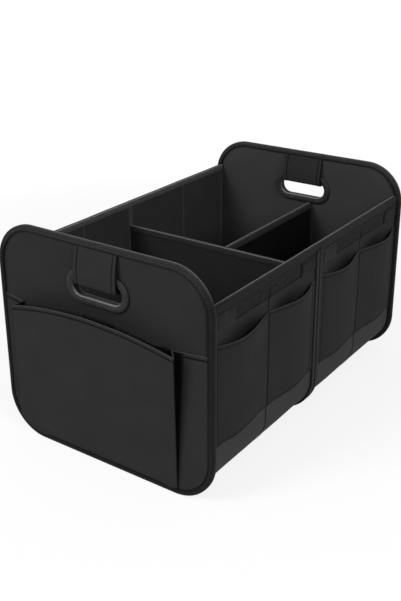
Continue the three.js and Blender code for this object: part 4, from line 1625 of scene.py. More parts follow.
@dataclass
class BandSheets(BandPart):
    """The outer cloth and the lining of one half of the band, which lies at negative Y in its own frame."""

    cloth: float = 1.0
    spacing: float = 6.0
    floor_step: float = 2.5
    columns: int = 36
    lining_seams: ClassVar[dict[Side, float]] = {Side.RIGHT: 153.0, Side.LEFT: 118.0}
    floor_light_top: float = 104.0
    clearance: float = 0.02  # from the middle of the organizer to each half's edge
    seam_points: int = 60
    shade_top: float = 256.0
    shade_low: float = 236.0

    def stations(self, end: float, seams: list[float]) -> Array:
        """Distances from the middle for the columns of a sheet, closer beside its seams.

        Args:
            end: Where the sheet ends.
            seams: Where seams cross it.

        Returns:
            The distances in order.
        """
        beside = [seam + step for seam in seams for step in (-3.0, -1.4, 0.0, 1.4, 3.0)]
        return np.unique(np.concatenate([np.linspace(self.clearance, end, self.columns), beside]))

    def build(self, half: End) -> None:
        """Makes both sheets and the seams that show inside.

        Args:
            half: The end that this half of the band is next to.
        """
        low, high = node_box("side_pockets_right_front")
        pockets = PocketLine(-high[1], -low[1])
        line = self.line(self.layer_top, self.spacing, self.cloth / 2.0)
        along = line.lengths()
        distance = self.stations(self.end_y, [pockets.seam])[None, :]
        up = line.points[:, 1][:, None]
        on_corner = 2.0 * np.abs(line.normals[:, 0] * line.normals[:, 1])[:, None]
        held = smooth_step(0.0, 22.0, distance) * smooth_step(self.end_y, self.end_y - 18.0, distance)
        wave = ripple(-distance, along[:, None], 80.0, 41)
        sink = (0.5 + 0.5 * wave) * held * (0.25 + 0.7 * on_corner)
        moved = line.points[:, None] - line.normals[:, None] * sink[..., None]
        mid = standing(moved, -distance)
        # Painted light: the lower band is painted lighter, standing for the light that the floor throws up.
        floor_light = np.broadcast_to(smooth_step(self.floor_light_top, self.floor_light_top - 14.0, up), sink.shape)
        # Painted shade on the wall behind the pockets' mouths, and along the pocket seam.
        inside = pockets.gloom(distance) * smooth_step(self.shade_top, self.shade_low, up) * (up > 100.0)
        seam = bump_at(pockets.seam, 2.4, distance) * (up > self.floor + 8.0)
        marks = {PAINTED_FLOOR_LIGHT: floor_light, PAINTED_SHADE: np.maximum(0.95 * seam, 0.6 * inside)}
        shape = sheet_shape(mid, self.cloth, marks=marks)
        name = f"band_cloth_sheet_{half.value}"
        outer = make_object(name, shape, self.placement(half), OUTER_CLOTH, f"band_cloth_{half.value}")
        self.build_lining(half)

    def build_lining(self, half: End) -> None:
        """Makes the lining, drawn in along the seams that go through the walls.

        Args:
            half: The end that this half of the band is next to.
        """
        line = self.line(self.layer_top, self.spacing, self.lining_inset + self.cloth / 2.0)
        along = line.lengths()
        left_seam, right_seam = self.lining_seams[Side.LEFT], self.lining_seams[Side.RIGHT]
        across = -self.stations(self.lining_end_y, [left_seam, right_seam])
        up = line.points[:, 1][:, None]
        is_left = line.points[:, 0][:, None] < 0.0
        seam_at = np.where(is_left, left_seam, right_seam)
        on_wall = smooth_step(self.floor + self.radius - 8.0, self.floor + self.radius + 14.0, up)
        crease = bump_at(0.0, 3.2, np.abs(across)[None, :] - seam_at) * on_wall
        to_end = self.lining_end_y - np.abs(across)
        free = (smooth_step(0.0, 20.0, np.abs(across)) * smooth_step(0.0, 16.0, to_end))[None]
        wave = 0.5 + 0.5 * ripple(across[None, :], along[:, None], 75.0, 47)
        swell = 0.55 * wave * free * (1.0 - crease) - 0.3 * crease
        moved = line.points[:, None] - line.normals[:, None] * swell[..., None]
        mid = standing(moved, across)
        # Painted highlights: lighter lines along the lining's seams, its middle and its end, on the walls.
        middle = 0.8 * smooth_step(1.8, 0.4, np.abs(across))[None, :]
        light = 0.8 * np.maximum(bump_at(0.0, 2.2, np.abs(across)[None, :] - seam_at), middle)
        light = np.maximum(light, 0.5 * smooth_step(3.0, 0.5, to_end)[None, :]) * on_wall
        shape = sheet_shape(mid, self.cloth, marks={WEAR_AND_HIGHLIGHT: light})
        name = f"band_lining_sheet_{half.value}"
        made = make_object(name, shape, self.placement(half), BAND_LINING, f"band_lining_{half.value}")
        inner_x = self.wall_x - self.lining_inset - self.cloth
        heights = np.linspace(self.floor + self.radius, self.top_tape_low - 1.0, self.seam_points)
        rows = []
        for sign, seam_y in ((-1.0, left_seam), (1.0, right_seam)):
            wall = np.stack([np.full_like(heights, sign * (inner_x + 0.25)), heights], axis=-1)
            rows.append(THREAD.row(standing(wall, -seam_y), np.array([-sign, 0.0, 0.0])))
        stitches = make_stitches(f"band_lining_seams_{half.value}", rows, self.placement(half), LIGHT_THREAD)


@dataclass
class RibbedStrip(BandPart):
    """Ribbed tape with a section carried along a line; the tapes of the walls and dividers share it."""

    rib_pitch: float = 2.4
    rib_height: float = 0.12
    spacing: float = 0.8

    def ribbed(self, section: Array, shown: Array, along: Array) -> Array:
        """Raises ribs on the shown part of a section.

        Args:
            section: The section's points.
            shown: 1 where the tape shows and 0 inside its fold.
            along: Distances along the tape.

        Returns:
            The section at each distance.
        """
        ahead = unit(np.roll(section, -1, axis=0) - np.roll(section, 1, axis=0))
        outward = np.stack([ahead[:, 1], -ahead[:, 0]], axis=-1)
        turned = np.sign(np.sum(np.cross(section, np.roll(section, -1, axis=0))))
        phase = math.pi * (along[:, None] + 0.35 * travelled(section)[None, :]) / self.rib_pitch
        height = self.rib_height * np.abs(np.sin(phase)) * shown[None, :]
        return section[None] + height[..., None] * outward[None] * (turned if turned else 1.0)


@dataclass
class MiddleTape(RibbedStrip):
    """The tape beside the middle seam, down one wall, under the floor and up the other wall."""

    rounding: float = 1.8

    def build(self, half: End) -> None:
        """Makes the tape and the two rows of stitches in it.

        Args:
            half: The end that this half of the band is next to.
        """
        low, high = node_box("middle_tape_front")
        near, far = -high[1], -low[1]
        middle = (near + far) / 2.0
        top = high[0] - self.wall_x
        r = self.rounding
        section = np.array(
            [
                (self.seam, near),
                (self.seam, middle),
                (self.seam, far),
                (top - r, far),
                (top - r * 0.35, far - r * 0.35),
                (top, far - r),
                (top - 0.35, far - 2.6),
                (top + 0.1, middle),
                (top - 0.35, near + 2.6),
                (top, near + r),
                (top - r * 0.35, near + r * 0.35),
                (top - r, near),
            ]
        )
        shown = np.array([0, 0, 0, 1, 1, 1, 1, 1, 1, 1, 1, 1], dtype=float)
        line = self.line(self.top_tape_low - self.seam, self.spacing)
        along = line.lengths()
        ribbed = self.ribbed(section, shown, along)
        flat_line = line.points[:, None] + line.normals[:, None] * ribbed[..., :1]
        loops = standing(flat_line, -ribbed[..., 1])
        # A faint painted highlight along the tape's crest.
        crest = smooth_step(top - 0.9, top, section[:, 0]) * 0.1
        marks = {WEAR_AND_HIGHLIGHT: np.broadcast_to(crest, loops.shape[:2])}
        shape = swept_shape(loops, False, by_section(travelled(section), along), marks)
        name = f"middle_tape_ribbed_{half.value}"
        make_object(name, shape, self.placement(half), WALL_TAPE, f"middle_tape_{half.value}")
        coarse = self.line(self.top_tape_low - self.seam, 4.0)
        away = standing(coarse.normals, 0.0)
        way = coarse.offset(top - 0.22)
        rows = [THREAD.row(standing(way, -at), away) for at in (near + 2.6, far - 2.6)]
        make_stitches(f"middle_tape_stitches_{half.value}", rows, self.placement(half))


@dataclass
class FoldedTape(RibbedStrip):
    """Tape folded over the upper edge of a wall or a divider and sewn through."""

    tape: float = 1.0
    stitch_drop: float = 6.6
    ridge: float = 0.3
    row_points: int = 50

    def fold(self, low: float, high: float, base: float, top: float) -> tuple[Array, Array]:
        """The fold's section.

        Args:
            low: Lower limit across.
            high: Upper limit across.
            base: Height of the tape's lower edges.
            top: Height of the fold.

        Returns:
            The section's points as place across and height, and where the tape shows.
        """
        half = (high - low) / 2.0
        r = min(half, 1.6)
        right = [(half - 0.25, base), (half, base + 0.5), (half + 0.12, base + 2.2)]
        right += [(half + 0.1, (base + top) / 2.0), (half, top - r - 0.6)]
        for angle in np.radians(np.linspace(0.0, 90.0, 6)):
            right.append((half - r + r * math.cos(angle), top - r + r * math.sin(angle)))
        shell = right + [(self.ridge, top), (-self.ridge, top)] + [(-x, z) for x, z in reversed(right)]
        inner = half - self.tape
        hollow = [(-inner, base), (-inner, top - self.tape), (inner, top - self.tape), (inner, base)]
        shown = np.array([1.0] * len(shell) + [0.0] * len(hollow))
        return np.array(shell + hollow) + ((high + low) / 2.0, 0.0), shown

    def laid(self, node: str, axis: int) -> tuple:
        """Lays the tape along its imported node.

        Args:
            node: The tape's node.
            axis: 0 where the tape runs across the organizer, 1 where it runs along it.

        Returns:
            The section, where it shows, the distances along the tape, the loops as place across the
            tape, place along it and height, and the two rows of stitches.
        """
        low, high = node_box(node)
        thin = 1 - axis
        section, shown = self.fold(low[thin], high[thin], low[2], high[2])
        count = round((high[axis] - low[axis]) / self.spacing)
        along = np.linspace(low[axis], high[axis], count + 1)
        loops = standing(self.ribbed(section, shown, along), along[:, None])
        sewn = np.linspace(low[axis] + 1.0, high[axis] - 1.0, self.row_points)
        height = np.full_like(sewn, high[2] - self.stitch_drop)
        rows = []
        for place, sign in ((low[thin] - 0.08, -1.0), (high[thin] + 0.08, 1.0)):
            path = np.stack([np.full_like(sewn, place), sewn, height], axis=-1)
            rows.append((path, np.array([sign, 0.0, 0.0])))
        return section, shown, along, loops, rows


@dataclass
class WallTopTape(FoldedTape):
    """The tape over the top of a side wall, in two lengths."""

    inner_light: float = 0.3

    def build(self, side: Side, half: End) -> None:
        """Makes one length and its stitches.

        Args:
            side: The wall.
            half: The end that this length is next to.
        """
        place = f"{side.value}_{half.value}"
        node = f"wall_top_tape_{place}"
        low, high = node_box(node)
        section, shown, along, loops, rows = self.laid(node, 1)
        loops[..., 2] += 0.35 * ripple(along, along * 0.0, 120.0, 61 + len(place))[:, None] - 0.3
        half_width = (high[0] - low[0]) / 2.0
        inward = (section[:, 0] - low[0] - half_width) * (-1.0 if side is Side.RIGHT else 1.0)
        # Painted highlight along the top of the fold's inner side; on the left wall, painted light over the
        # whole inner half.
        fold = bump_at(half_width - 1.3, 1.0, inward) * (section[:, 1] > high[2] - 1.3) * shown
        if side is Side.LEFT:
            fold = np.maximum(fold, self.inner_light * (inward > 0.5) * shown)
        marks = {WEAR_AND_HIGHLIGHT: np.broadcast_to(fold, loops.shape[:2])}
        shape = swept_shape(loops, False, by_section(travelled(section), along), marks)
        make_object(f"wall_tape_{place}", shape, Placement(), WALL_TAPE, node)
        make_stitches(f"wall_tape_stitches_{place}", [THREAD.row(*row) for row in rows], Placement())


@dataclass
class WallPart(BandPart):
    """What the pieces on the outside of a side wall know. In its own frame the wall is at positive X."""

    pocket_seam: float = 143.0

    @staticmethod
    def stands(side: Side, half: End) -> tuple[Placement, float]:
        """A wall's placement, and the sign of a piece's Y in the wall's own frame."""
        turned = side is Side.LEFT
        return Placement(turned), 1.0 if (half is End.REAR) != turned else -1.0

    def local_box(self, node: str, placement: Placement) -> tuple[Array, Array]:
        """A node's box in the wall's own frame."""
        corners = placement.apply(np.array(node_box(node)))
        return corners.min(axis=0), corners.max(axis=0)


def cloth_grid(box: RoundedBox, columns: int, rows: int) -> tuple[Array, Array]:
    """Lays a grid over a rounded rectangle, closer near its edges.

    Args:
        box: The rectangle.
        columns: Points across.
        rows: Points up.

    Returns:
        Both coordinates of each point, by row and column.
    """

    def stations(low: float, high: float, count: int, radius: float) -> Array:
        """Even stations with a few more near both ends."""
        close = np.array([0.0, 0.3, 0.65, 1.0]) * radius
        middle = np.linspace(low + radius, high - radius, count)[1:-1]
        return np.concatenate([low + close, middle, high - close[::-1]])

    radius = max(box.low_radius, box.high_radius)
    across, up = np.meshgrid(
        stations(box.left, box.right, columns, radius), stations(box.low, box.high, rows, radius)
    )
    return box.eased(across, up)


@dataclass
class WallFacing(WallPart):
    """The cloth facing below the top tape, on which the fastener patches are sewn."""

    cloth: float = 0.8
    corner: float = 2.0
    pucker: float = 0.75
    hem: float = 3.2
    hem_points: int = 80
    columns: int = 110
    rows: int = 18
    seam_top: float = 277.0
    patch_half: tuple[float, float] = (22.0, 11.0)  # half a patch's length and height, with its edge

    def build(self, side: Side, half: End) -> None:
        """Makes the facing, puckered between its seams, with stitches along its lower edge.

        Args:
            side: The wall.
            half: The end that the facing is next to.
        """
        place = f"{side.value}_{half.value}"
        placement, sign = self.stands(side, half)
        low, high = self.local_box(f"wall_facing_{place}", placement)
        box = RoundedBox(low[1], high[1], low[2], high[2], self.corner, self.corner)
        along, up = cloth_grid(box, self.columns, self.rows)
        to_edge = box.to_edge(along, up)
        wave = 0.5 + 0.5 * ripple(along, up * 1.6, 17.0, 71 + len(place))
        seam = bump_at(sign * self.pocket_seam, 3.0, along)
        seam = seam * smooth_step(self.seam_top, self.seam_top - 4.0, up)
        flat_under_patch = np.ones_like(along)
        for where in ("end", "middle"):
            corners = self.local_box(f"fastener_patch_{place}_{where}", placement)
            middle = (corners[0] + corners[1]) / 2.0
            beside = np.abs(along - middle[1]) - self.patch_half[0]
            off = np.maximum(beside, np.abs(up - middle[2]) - self.patch_half[1])
            flat_under_patch *= smooth_step(0.0, 5.0, off)
        free = smooth_step(0.0, 5.0, to_edge) * flat_under_patch * (1.0 - seam)
        x = low[0] + self.cloth / 2.0 + self.pucker * wave * free - 0.15 * seam
        mid = np.stack([x, along, up], axis=-1)
        above = up - box.low
        thick = self.cloth + 0.4 * smooth_step(3.4, 2.6, above)
        # Painted shade along the pocket seam and the hem's stitch line.
        drawn = np.maximum(0.9 * seam, 0.8 * bump_at(self.hem, 1.4, above))
        marks = {WEAR_AND_HIGHLIGHT: 0.35 * smooth_step(1.0, 0.0, above), PAINTED_SHADE: drawn}
        shape = sheet_shape(mid, thick, flat=np.stack([along, up], axis=-1), marks=marks)
        name = f"wall_facing_cloth_{place}"
        made = make_object(name, shape, placement, FACING_CLOTH, f"wall_facing_{place}")
        places = np.linspace(box.left + 1.0, box.right - 1.0, self.hem_points)
        surface = np.full_like(places, low[0] + self.cloth + 0.2)
        path = np.stack([surface, places, np.full_like(places, box.low + self.hem)], axis=-1)
        sewn = THREAD.row(path, SIDEWAYS)
        stitches = make_stitches(f"wall_facing_stitches_{place}", [sewn], placement)


@dataclass
class FastenerPatches(WallPart):
    """The hook and the loop patch of each wall half, each sewn round its edge."""

    patch: float = 1.5
    corner: float = 2.0
    border: float = 1.8
    columns: int = 34
    rows: int = 18

    def build(self, side: Side, half: End) -> None:
        """Makes both patches of a wall half.

        Args:
            side: The wall.
            half: The end that they are next to.
        """
        placement, sign = self.stands(side, half)
        kinds = (LOOP_PATCH, HOOK_PATCH) if sign < 0 else (HOOK_PATCH, LOOP_PATCH)
        for where, finish in zip(("end", "middle"), kinds):
            node = f"fastener_patch_{side.value}_{half.value}_{where}"
            low, high = self.local_box(node, placement)
            box = RoundedBox(low[1], high[1], low[2], high[2], self.corner, self.corner)
            along, up = cloth_grid(box, self.columns, self.rows)
            to_edge = box.to_edge(along, up)
            tufts = 0.16 * ripple(along, up, 3.4, 83) * smooth_step(2.6, 3.6, to_edge)
            groove = bump_at(self.border, 0.9, to_edge)
            pile = smooth_step(self.border + 0.4, self.border + 1.6, to_edge)
            thick = self.patch * (0.6 + 0.4 * pile) - 0.3 * groove
            x = low[0] + thick / 2.0 + 0.1 * tufts
            mid = np.stack([x, along, up], axis=-1)
            marks = {WEAR_AND_HIGHLIGHT: 0.5 * smooth_step(1.4, 0.2, to_edge)}
            flat = np.stack([along, up], axis=-1)
            shape = sheet_shape(mid, thick + 0.1 * np.abs(tufts), flat=flat, marks=marks)
            make_object(f"{node}_pile", shape, placement, finish, node)
            way = box.inside(self.border).outline(2.0).points
            way = np.concatenate([way, way[:1]])
            path = np.insert(way, 0, low[0] + self.patch * 0.6, axis=1)
            thread = LIGHT_THREAD if finish is LOOP_PATCH else DARK_THREAD
            make_stitches(f"{node}_stitches", [PATCH_THREAD.row(path, SIDEWAYS)], placement, thread)


@dataclass
class SidePockets(WallPart):
    """The two pockets of a wall half, from one gathered cloth with a shared seam."""

    cloth: float = 1.2
    depth: float = 9.0
    scoop: float = 2.5
    strip: float = 8.0
    hem: float = 5.4
    strip_points: int = 8
    full_points: int = 36
    lower_rows: int = 30
    gape: float = 2.5  # how much farther out the mouth hangs than the pocket below it
    facing_low: float = 257.0
    facing_top: float = 275.0
    seam_points: int = 90
    upper_points: int = 30

    def stations(self, pockets: PocketLine) -> Array:
        """Distances from the middle for the cloth's columns, from the far end to the near one.

        Args:
            pockets: Where the pockets are.

        Returns:
            The distances in falling order.
        """
        outer = np.linspace(pockets.far - pockets.strip, pockets.seam, self.full_points)
        inner = np.linspace(pockets.seam, pockets.near + pockets.strip, self.full_points)[1:]
        far_strip = np.linspace(pockets.far, pockets.far - pockets.strip, self.strip_points)[:-1]
        near_strip = np.linspace(pockets.near + pockets.strip, pockets.near, self.strip_points)[1:]
        beside = np.array([pockets.seam + step for step in (1.4, 0.7, -0.7, -1.4)])
        return np.unique(np.concatenate([far_strip, outer, inner, near_strip, beside]))[::-1]

    def build(self, side: Side, half: End) -> None:
        """Makes the pockets with their hem, their folds and their stitches.

        Args:
            side: The wall.
            half: The end that they are next to.
        """
        place = f"{side.value}_{half.value}"
        placement, sign = self.stands(side, half)
        low, high = self.local_box(f"side_pockets_{place}", placement)
        near, far = np.sort(np.abs([low[1], high[1]]))
        pockets = PocketLine(float(near), float(far), self.pocket_seam, self.strip)
        along = self.stations(pockets)
        full = pockets.fullness(along)[None, :]
        top = high[2] - self.scoop * full
        roll = self.cloth * 2.4
        bottom = low[2] + roll + (self.cloth - roll * full)
        near_top = np.array([0.0, 1.0, 1.8, 2.8, 3.8, 4.6, 5.3, 6.2, 7.5, 9.5])
        drops = np.concatenate([near_top, np.linspace(13.0, 142.0, self.lower_rows)])
        rise = 1.0 - drops[:, None] / (top - bottom)
        under = np.full((1, full.shape[1]), -1.0)
        rise = np.concatenate([rise[rise.min(axis=1) > 0.03], np.zeros((1, full.shape[1])), under])
        height = np.maximum(rise, 0.0)
        swell = np.where(rise < 0.0, 0.0, np.minimum(1.0, 0.72 + 2.1 * height))
        depth = (self.depth * (0.72 + 0.28 * height) + self.gape * smooth_step(0.72, 1.0, height)) * swell
        seat = self.seam + self.cloth / 2.0
        wave = 0.5 * ripple(along[None, :], height * 150.0, 70.0, 91 + len(place))
        folds = 0.1 * ripple(along[None, :] * 2.0, height * 40.0, 40.0, 97 + len(place))
        out = seat + np.maximum(depth * full + (wave + folds) * full**0.7, 0.0)
        up = np.where(rise < 0.0, low[2] + self.cloth / 2.0, bottom + height * (top - bottom))
        y = np.broadcast_to(sign * along[None, :], out.shape)
        mid = np.stack([self.wall_x + out, y, up], axis=-1)
        below = np.where(rise < 0.0, 200.0, top - up)
        seam = bump_at(self.pocket_seam, 2.4, along)[None, :] * np.ones_like(out)
        groove = bump_at(self.hem - 0.8, 1.2, below)
        hem = smooth_step(self.hem + 0.5, self.hem - 0.3, below)
        thick = self.cloth + 0.6 * hem - 0.5 * groove - 0.35 * seam
        strip_fold = bump_at(far - self.strip, 2.2, along) + bump_at(near + self.strip, 2.2, along)
        strip_fold = strip_fold[None, :] * np.ones_like(out)
        lower_edge = smooth_step(low[2] + 5.0, low[2] + 1.5, up)
        # Painted shade along the shared seam, the hem's stitch groove, the strips' folds and the lower edge.
        dark = np.maximum.reduce([0.95 * seam, 0.8 * groove, 0.45 * strip_fold, 0.7 * lower_edge])
        marks = {WEAR_AND_HIGHLIGHT: 0.4 * smooth_step(1.2, 0.3, below), PAINTED_SHADE: dark}
        shape = sheet_shape(mid, thick, marks=marks)
        name = f"side_pocket_cloth_{place}"
        made = make_object(name, shape, placement, SIDE_POCKET_CLOTH, f"side_pockets_{place}")
        stitches = self.sew(place, placement, sign, mid, below)

    def sew(
        self, place: str, placement: Placement, sign: float, mid: Array, below: Array
    ) -> bpy.types.Object:
        """Sews the hem, the shared seam and the lower edge.

        Args:
            place: The wall half's name.
            placement: Where the wall stands.
            sign: The sign of Y in the wall's frame.
            mid: The pocket cloth's middle surface.
            below: How far each of its points is below the upper edge.

        Returns:
            The stitches.
        """
        normals = surface_normals(mid, False)
        normals = normals * np.sign(normals[..., :1])
        row = int(np.argmin(np.abs(below[:, 0] - (self.hem - 0.8))))
        hem = THREAD.row(mid[row] + normals[row] * (self.cloth / 2.0 + 0.05), normals[row])
        top, base = mid[0, 0, 2], mid[-1, 0, 2]
        seam_y = sign * self.pocket_seam
        heights = np.linspace(base, top, self.seam_points)
        surface = np.full_like(heights, self.wall_x + self.seam + self.cloth + 0.1)
        shared = standing(np.stack([surface, heights], axis=-1), seam_y)
        above = np.linspace(top + 1.0, self.facing_top, self.upper_points)
        on_facing = np.where(above > self.facing_low, self.wall_x + 1.3, self.wall_x + 0.15)
        upper = standing(np.stack([on_facing, above], axis=-1), seam_y)
        band = self.line(base, 3.0)
        shown = (band.points[:, 0] > 0.0) & (band.points[:, 1] > self.floor + 6.0)
        lower = standing(band.offset(0.15)[shown], seam_y)
        rows = [hem, THREAD.row(shared, SIDEWAYS), THREAD.row(upper, SIDEWAYS)]
        rows.append(THREAD.row(lower, standing(band.normals[shown], 0.0)))
        return make_stitches(f"side_pocket_stitches_{place}", rows, placement)


@dataclass
class Divider(FoldedTape):
    """A cloth divider on a board, with tape over its upper edge."""

    name: str = "cross_divider"
    parts: tuple[str, str] = ("front", "rear")
    axis: int = 0  # 0 where it runs across the organizer, 1 where it runs along it
    rounded: bool = True  # whether its lower corners follow the lining
    finish: ClothFinish = DIVIDER_CLOTH
    seed: int = 101
    cloth: float = 0.8
    tape: float = 0.8
    rib_pitch: float = 2.0
    stitch_drop: float = 7.6
    columns: int = 60
    rows: int = 28

    def cloth_mid(self, low: Array, high: Array, middle: float, sign: float) -> Array:
        """The middle surface of one cloth of the divider.

        Args:
            low: Lowest corner of the cloth's node.
            high: Its highest corner.
            middle: Where the divider's board is, across the divider.
            sign: Which side the cloth is on.

        Returns:
            Place along the divider, place across it and height of each point.
        """
        axis, thin = self.axis, 1 - self.axis
        face = abs((low[thin] + high[thin]) / 2.0 - middle)
        bottom = np.full(self.columns, low[2])
        if self.rounded:
            radius = self.radius - (self.wall_x - high[axis])
            share = np.linspace(-1.0, 1.0, self.columns)
            corner = np.abs(share) * high[axis] - (high[axis] - radius)
            corner = np.clip(corner, 0.0, radius - 0.05)
            bottom = low[2] + radius - np.sqrt(radius**2 - corner**2)
        along = np.linspace(low[axis], high[axis], self.columns)[None, :]
        share = np.linspace(0.0, 1.0, self.rows)[:, None]
        up = bottom[None, :] + (high[2] - bottom[None, :]) * share
        to_end = np.minimum(along - low[axis], high[axis] - along)
        held = smooth_step(0.0, 24.0, to_end)
        free = held * smooth_step(1.0, 0.85, share) * smooth_step(0.0, 0.1, share)
        wave = 0.5 + 0.5 * ripple(along, up, 90.0, self.seed)
        across = middle + sign * (face + 0.9 * wave * free)
        return np.stack([np.broadcast_to(along, up.shape), across, up], axis=-1)

    def build(self) -> None:
        """Makes the divider's two cloths, its tape and the stitches in it."""
        board = f"{self.name}_board"
        order = [0, 1, 2] if self.axis == 0 else [1, 0, 2]
        middle = sum(corner[1 - self.axis] for corner in node_box(board)) / 2.0
        for part, sign in zip(self.parts, (-1.0, 1.0)):
            node = f"{self.name}_{part}_cloth"
            mid = self.cloth_mid(*node_box(node), middle, sign)
            flat = mid[..., [0, 2]]
            mid = mid[..., order]
            shape = sheet_shape(mid, self.cloth, flat=flat)
            made = make_object(f"{node}_sheet", shape, Placement(), self.finish, node)
        node = f"{self.name}_tape"
        section, shown, along, loops, rows = self.laid(node, self.axis)
        low, high = node_box(node)
        near_side = section[:, 0] < (low[1 - self.axis] + high[1 - self.axis]) / 2.0
        # Painted highlight along the top of the tape's near side.
        fold = smooth_step(high[2] - 0.8, high[2] - 0.3, section[:, 1]) * shown * near_side
        marks = {WEAR_AND_HIGHLIGHT: np.broadcast_to(fold, loops.shape[:2])}
        order = [1, 0, 2] if self.axis == 0 else [0, 1, 2]
        flat = by_section(travelled(section), along)
        shape = swept_shape(loops[..., order], False, flat, marks)
        make_object(f"{node}_ribbed", shape, Placement(), DIVIDER_TAPE, node)
        sewn = [THREAD.row(path[:, order], away[order]) for path, away in rows]
        make_stitches(f"{node}_stitches", sewn, Placement())


@dataclass
class Boards:
    """The stiff boards inside the cloth, which stay as the frame has them."""

    def dress(self, nodes: dict[str, bpy.types.Object]) -> None:
        """Gives every board its finish.

        Args:
            nodes: The frame's nodes by name.
        """
        boards = [name for name in nodes if "board" in name]
        for name in boards:
            nodes[name].data.materials.clear()
            nodes[name].data.materials.append(PRESSED_BOARD.material())
        log.info("boards: %d nodes keep their shape", len(boards))


@dataclass(frozen=True)
class Lamp:
    """A soft square lamp, in metres and watts."""

    name: str
    place: tuple[float, float, float]
    aim: tuple[float, float, float]
    size: float
    power: float

    def build(self) -> None:
        """Hangs the lamp and points it."""
        data = bpy.data.lights.new(self.name, "AREA")
        data.shape = "SQUARE"
        data.size = self.size
        data.energy = self.power
        made = bpy.data.objects.new(self.name, data)
        bpy.context.scene.collection.objects.link(made)
        made.location = self.place
        made.rotation_euler = (Vector(self.aim) - Vector(self.place)).to_track_quat("-Z", "Y").to_euler()


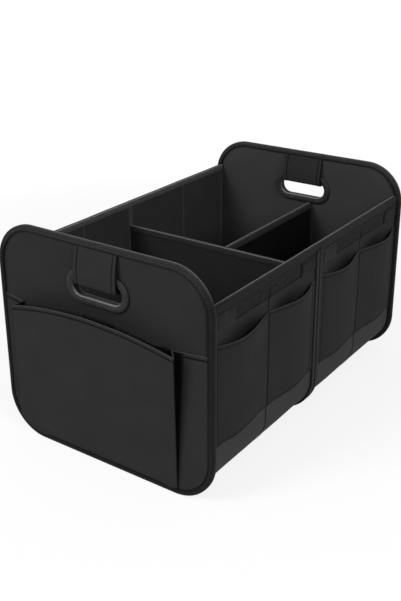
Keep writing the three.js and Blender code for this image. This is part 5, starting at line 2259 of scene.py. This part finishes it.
@dataclass
class Studio:
    """Floor, world, lamps and camera, in metres."""

    camera_place: tuple[float, float, float] = (0.75975, -1.12951, 0.76773)
    camera_heading: float = 0.611641  # radians to the left of straight ahead
    camera_dip: float = 0.378716  # radians below the horizon
    camera_roll: float = -0.0046338  # radians
    focal_pixels: float = 904.57
    shift_pixels: float = -40.0
    floor_size: float = 14.0
    floor_level: float = 232.0
    floor_seen_level: float = 128.0  # the floor's own colour as the camera sees it, under the glow
    floor_glow: float = 0.82
    glow_near: float = 0.7
    glow_far: float = 1.7
    world_strength: float = 0.36
    lamps: tuple[Lamp, ...] = (
        Lamp("key_lamp", (-2.0, -4.8, 4.2), (0.0, 0.0, 0.15), 2.4, 200.0),
        Lamp("right_fill", (4.6, -1.5, 3.2), (0.0, 0.0, 0.15), 2.4, 115.0),
    )

    def build(self) -> None:
        """Sets the whole studio up."""
        self.aim_camera()
        self.lay_floor()
        self.light_world()
        for lamp in self.lamps:
            lamp.build()
        bpy.context.scene.view_settings.view_transform = "Standard"
        log.info("studio: camera, floor, world and %d lamps", len(self.lamps))

    def aim_camera(self) -> None:
        """Stands the camera where the reference view was taken from."""
        heading, dip, roll = self.camera_heading, self.camera_dip, self.camera_roll
        forward = math.cos(dip)
        ahead = Vector((-math.sin(heading) * forward, math.cos(heading) * forward, -math.sin(dip)))
        level = Vector((math.cos(heading), math.sin(heading), 0.0))
        upright = level.cross(ahead)
        right = math.cos(roll) * level + math.sin(roll) * upright
        up = -math.sin(roll) * level + math.cos(roll) * upright
        turn = Matrix.Identity(3)
        turn.col[0], turn.col[1], turn.col[2] = right, up, -ahead
        data = bpy.data.cameras.new("camera")
        data.sensor_width = SENSOR_MM
        data.lens = self.focal_pixels / PHOTO_HEIGHT * SENSOR_MM
        data.shift_y = self.shift_pixels / PHOTO_HEIGHT
        data.clip_end = 40.0
        made = bpy.data.objects.new("camera", data)
        bpy.context.scene.collection.objects.link(made)
        made.matrix_world = Matrix.Translation(Vector(self.camera_place)) @ turn.to_4x4()
        bpy.context.scene.camera = made

    def seen_share(self, wiring: Wiring) -> Socket:
        """1 for rays that come from the camera, straight, by reflection or through glass."""
        path = wiring.node("ShaderNodeLightPath")
        seen = wiring.math("ADD", path.outputs["Is Camera Ray"], path.outputs["Is Glossy Ray"])
        return wiring.math("ADD", seen, path.outputs["Is Transmission Ray"], clamp=True)

    def lay_floor(self) -> None:
        """Lays a plain pale floor that shows white where no shadow falls."""
        half = self.floor_size / 2.0
        mesh = bpy.data.meshes.new("floor")
        corners = [(-half, -half, 0.0), (half, -half, 0.0), (half, half, 0.0), (-half, half, 0.0)]
        mesh.from_pydata(corners, [], [(0, 1, 2, 3)])
        floor = bpy.data.objects.new("floor", mesh)
        bpy.context.scene.collection.objects.link(floor)
        paint = bpy.data.materials.new("floor_paint")
        paint.use_nodes = True
        paint.node_tree.nodes.clear()
        wiring = Wiring(paint.node_tree)
        lit = wiring.node("ShaderNodeBsdfDiffuse")
        lit.inputs["Color"].default_value = grey(self.floor_level)
        away = wiring.node("ShaderNodeVectorMath", operation="LENGTH")
        wiring.feed(away.inputs[0], wiring.node("ShaderNodeTexCoord").outputs["Object"])
        far = wiring.range(away.outputs["Value"], self.glow_near, self.glow_far)
        shaded = wiring.node("ShaderNodeBsdfDiffuse")
        wiring.feed(shaded.inputs["Color"], wiring.mix(far, grey(self.floor_seen_level), grey(0.0)))
        glow = wiring.node("ShaderNodeEmission")
        wiring.feed(glow.inputs["Strength"], wiring.range(far, 0.0, 1.0, self.floor_glow, 1.0))
        seen = wiring.node("ShaderNodeAddShader")
        wiring.feed(seen.inputs[0], shaded.outputs[0])
        wiring.feed(seen.inputs[1], glow.outputs[0])
        both = wiring.node("ShaderNodeMixShader")
        wiring.feed(both.inputs["Fac"], self.seen_share(wiring))
        wiring.feed(both.inputs[1], lit.outputs[0])
        wiring.feed(both.inputs[2], seen.outputs[0])
        output = wiring.node("ShaderNodeOutputMaterial")
        wiring.feed(output.inputs["Surface"], both.outputs[0])
        mesh.materials.append(paint)

    def light_world(self) -> None:
        """Lights the studio evenly, and shows white behind it."""
        world = bpy.data.worlds.new("studio")
        bpy.context.scene.world = world
        world.use_nodes = True
        world.node_tree.nodes.clear()
        wiring = Wiring(world.node_tree)
        seen = self.seen_share(wiring)
        strength = wiring.math("MULTIPLY_ADD", seen, 1.0 - self.world_strength, self.world_strength)
        background = wiring.node("ShaderNodeBackground")
        background.inputs["Color"].default_value = (1.0, 1.0, 1.0, 1.0)
        wiring.feed(background.inputs["Strength"], strength)
        output = wiring.node("ShaderNodeOutputWorld")
        wiring.feed(output.inputs["Surface"], background.outputs[0])


def build_ends() -> None:
    """Builds both end panels."""
    for end in End:
        EndSheets(end).build()
        EndBinding(end).build()
        GripRings(end).build()
        GripStrap(end).build()
        BellowsPocket(end).build()


def build_band() -> None:
    """Builds the band that makes the walls and the floor."""
    for half in End:
        BandSheets().build(half)
        MiddleTape(rib_pitch=2.8, rib_height=0.18).build(half)


def build_walls() -> None:
    """Builds what is sewn on the side walls."""
    for side in Side:
        for half in End:
            WallTopTape().build(side, half)
            WallFacing().build(side, half)
            FastenerPatches().build(side, half)
            SidePockets().build(side, half)


def build_dividers() -> None:
    """Builds the divider across the organizer, and the one along its rear half."""
    Divider().build()
    along = {"parts": ("left", "right"), "axis": 1, "rounded": False, "seed": 107}
    Divider(name="long_divider", finish=DARK_DIVIDER_CLOTH, **along).build()


def main() -> None:
    """Builds the organizer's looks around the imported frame, in order."""
    logging.basicConfig(level=logging.INFO, format="%(name)s: %(message)s")
    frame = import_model()
    Studio().build()
    Boards().dress(frame["nodes"])
    build_ends()
    build_band()
    build_walls()
    build_dividers()


if __name__ == "__main__":
    main()
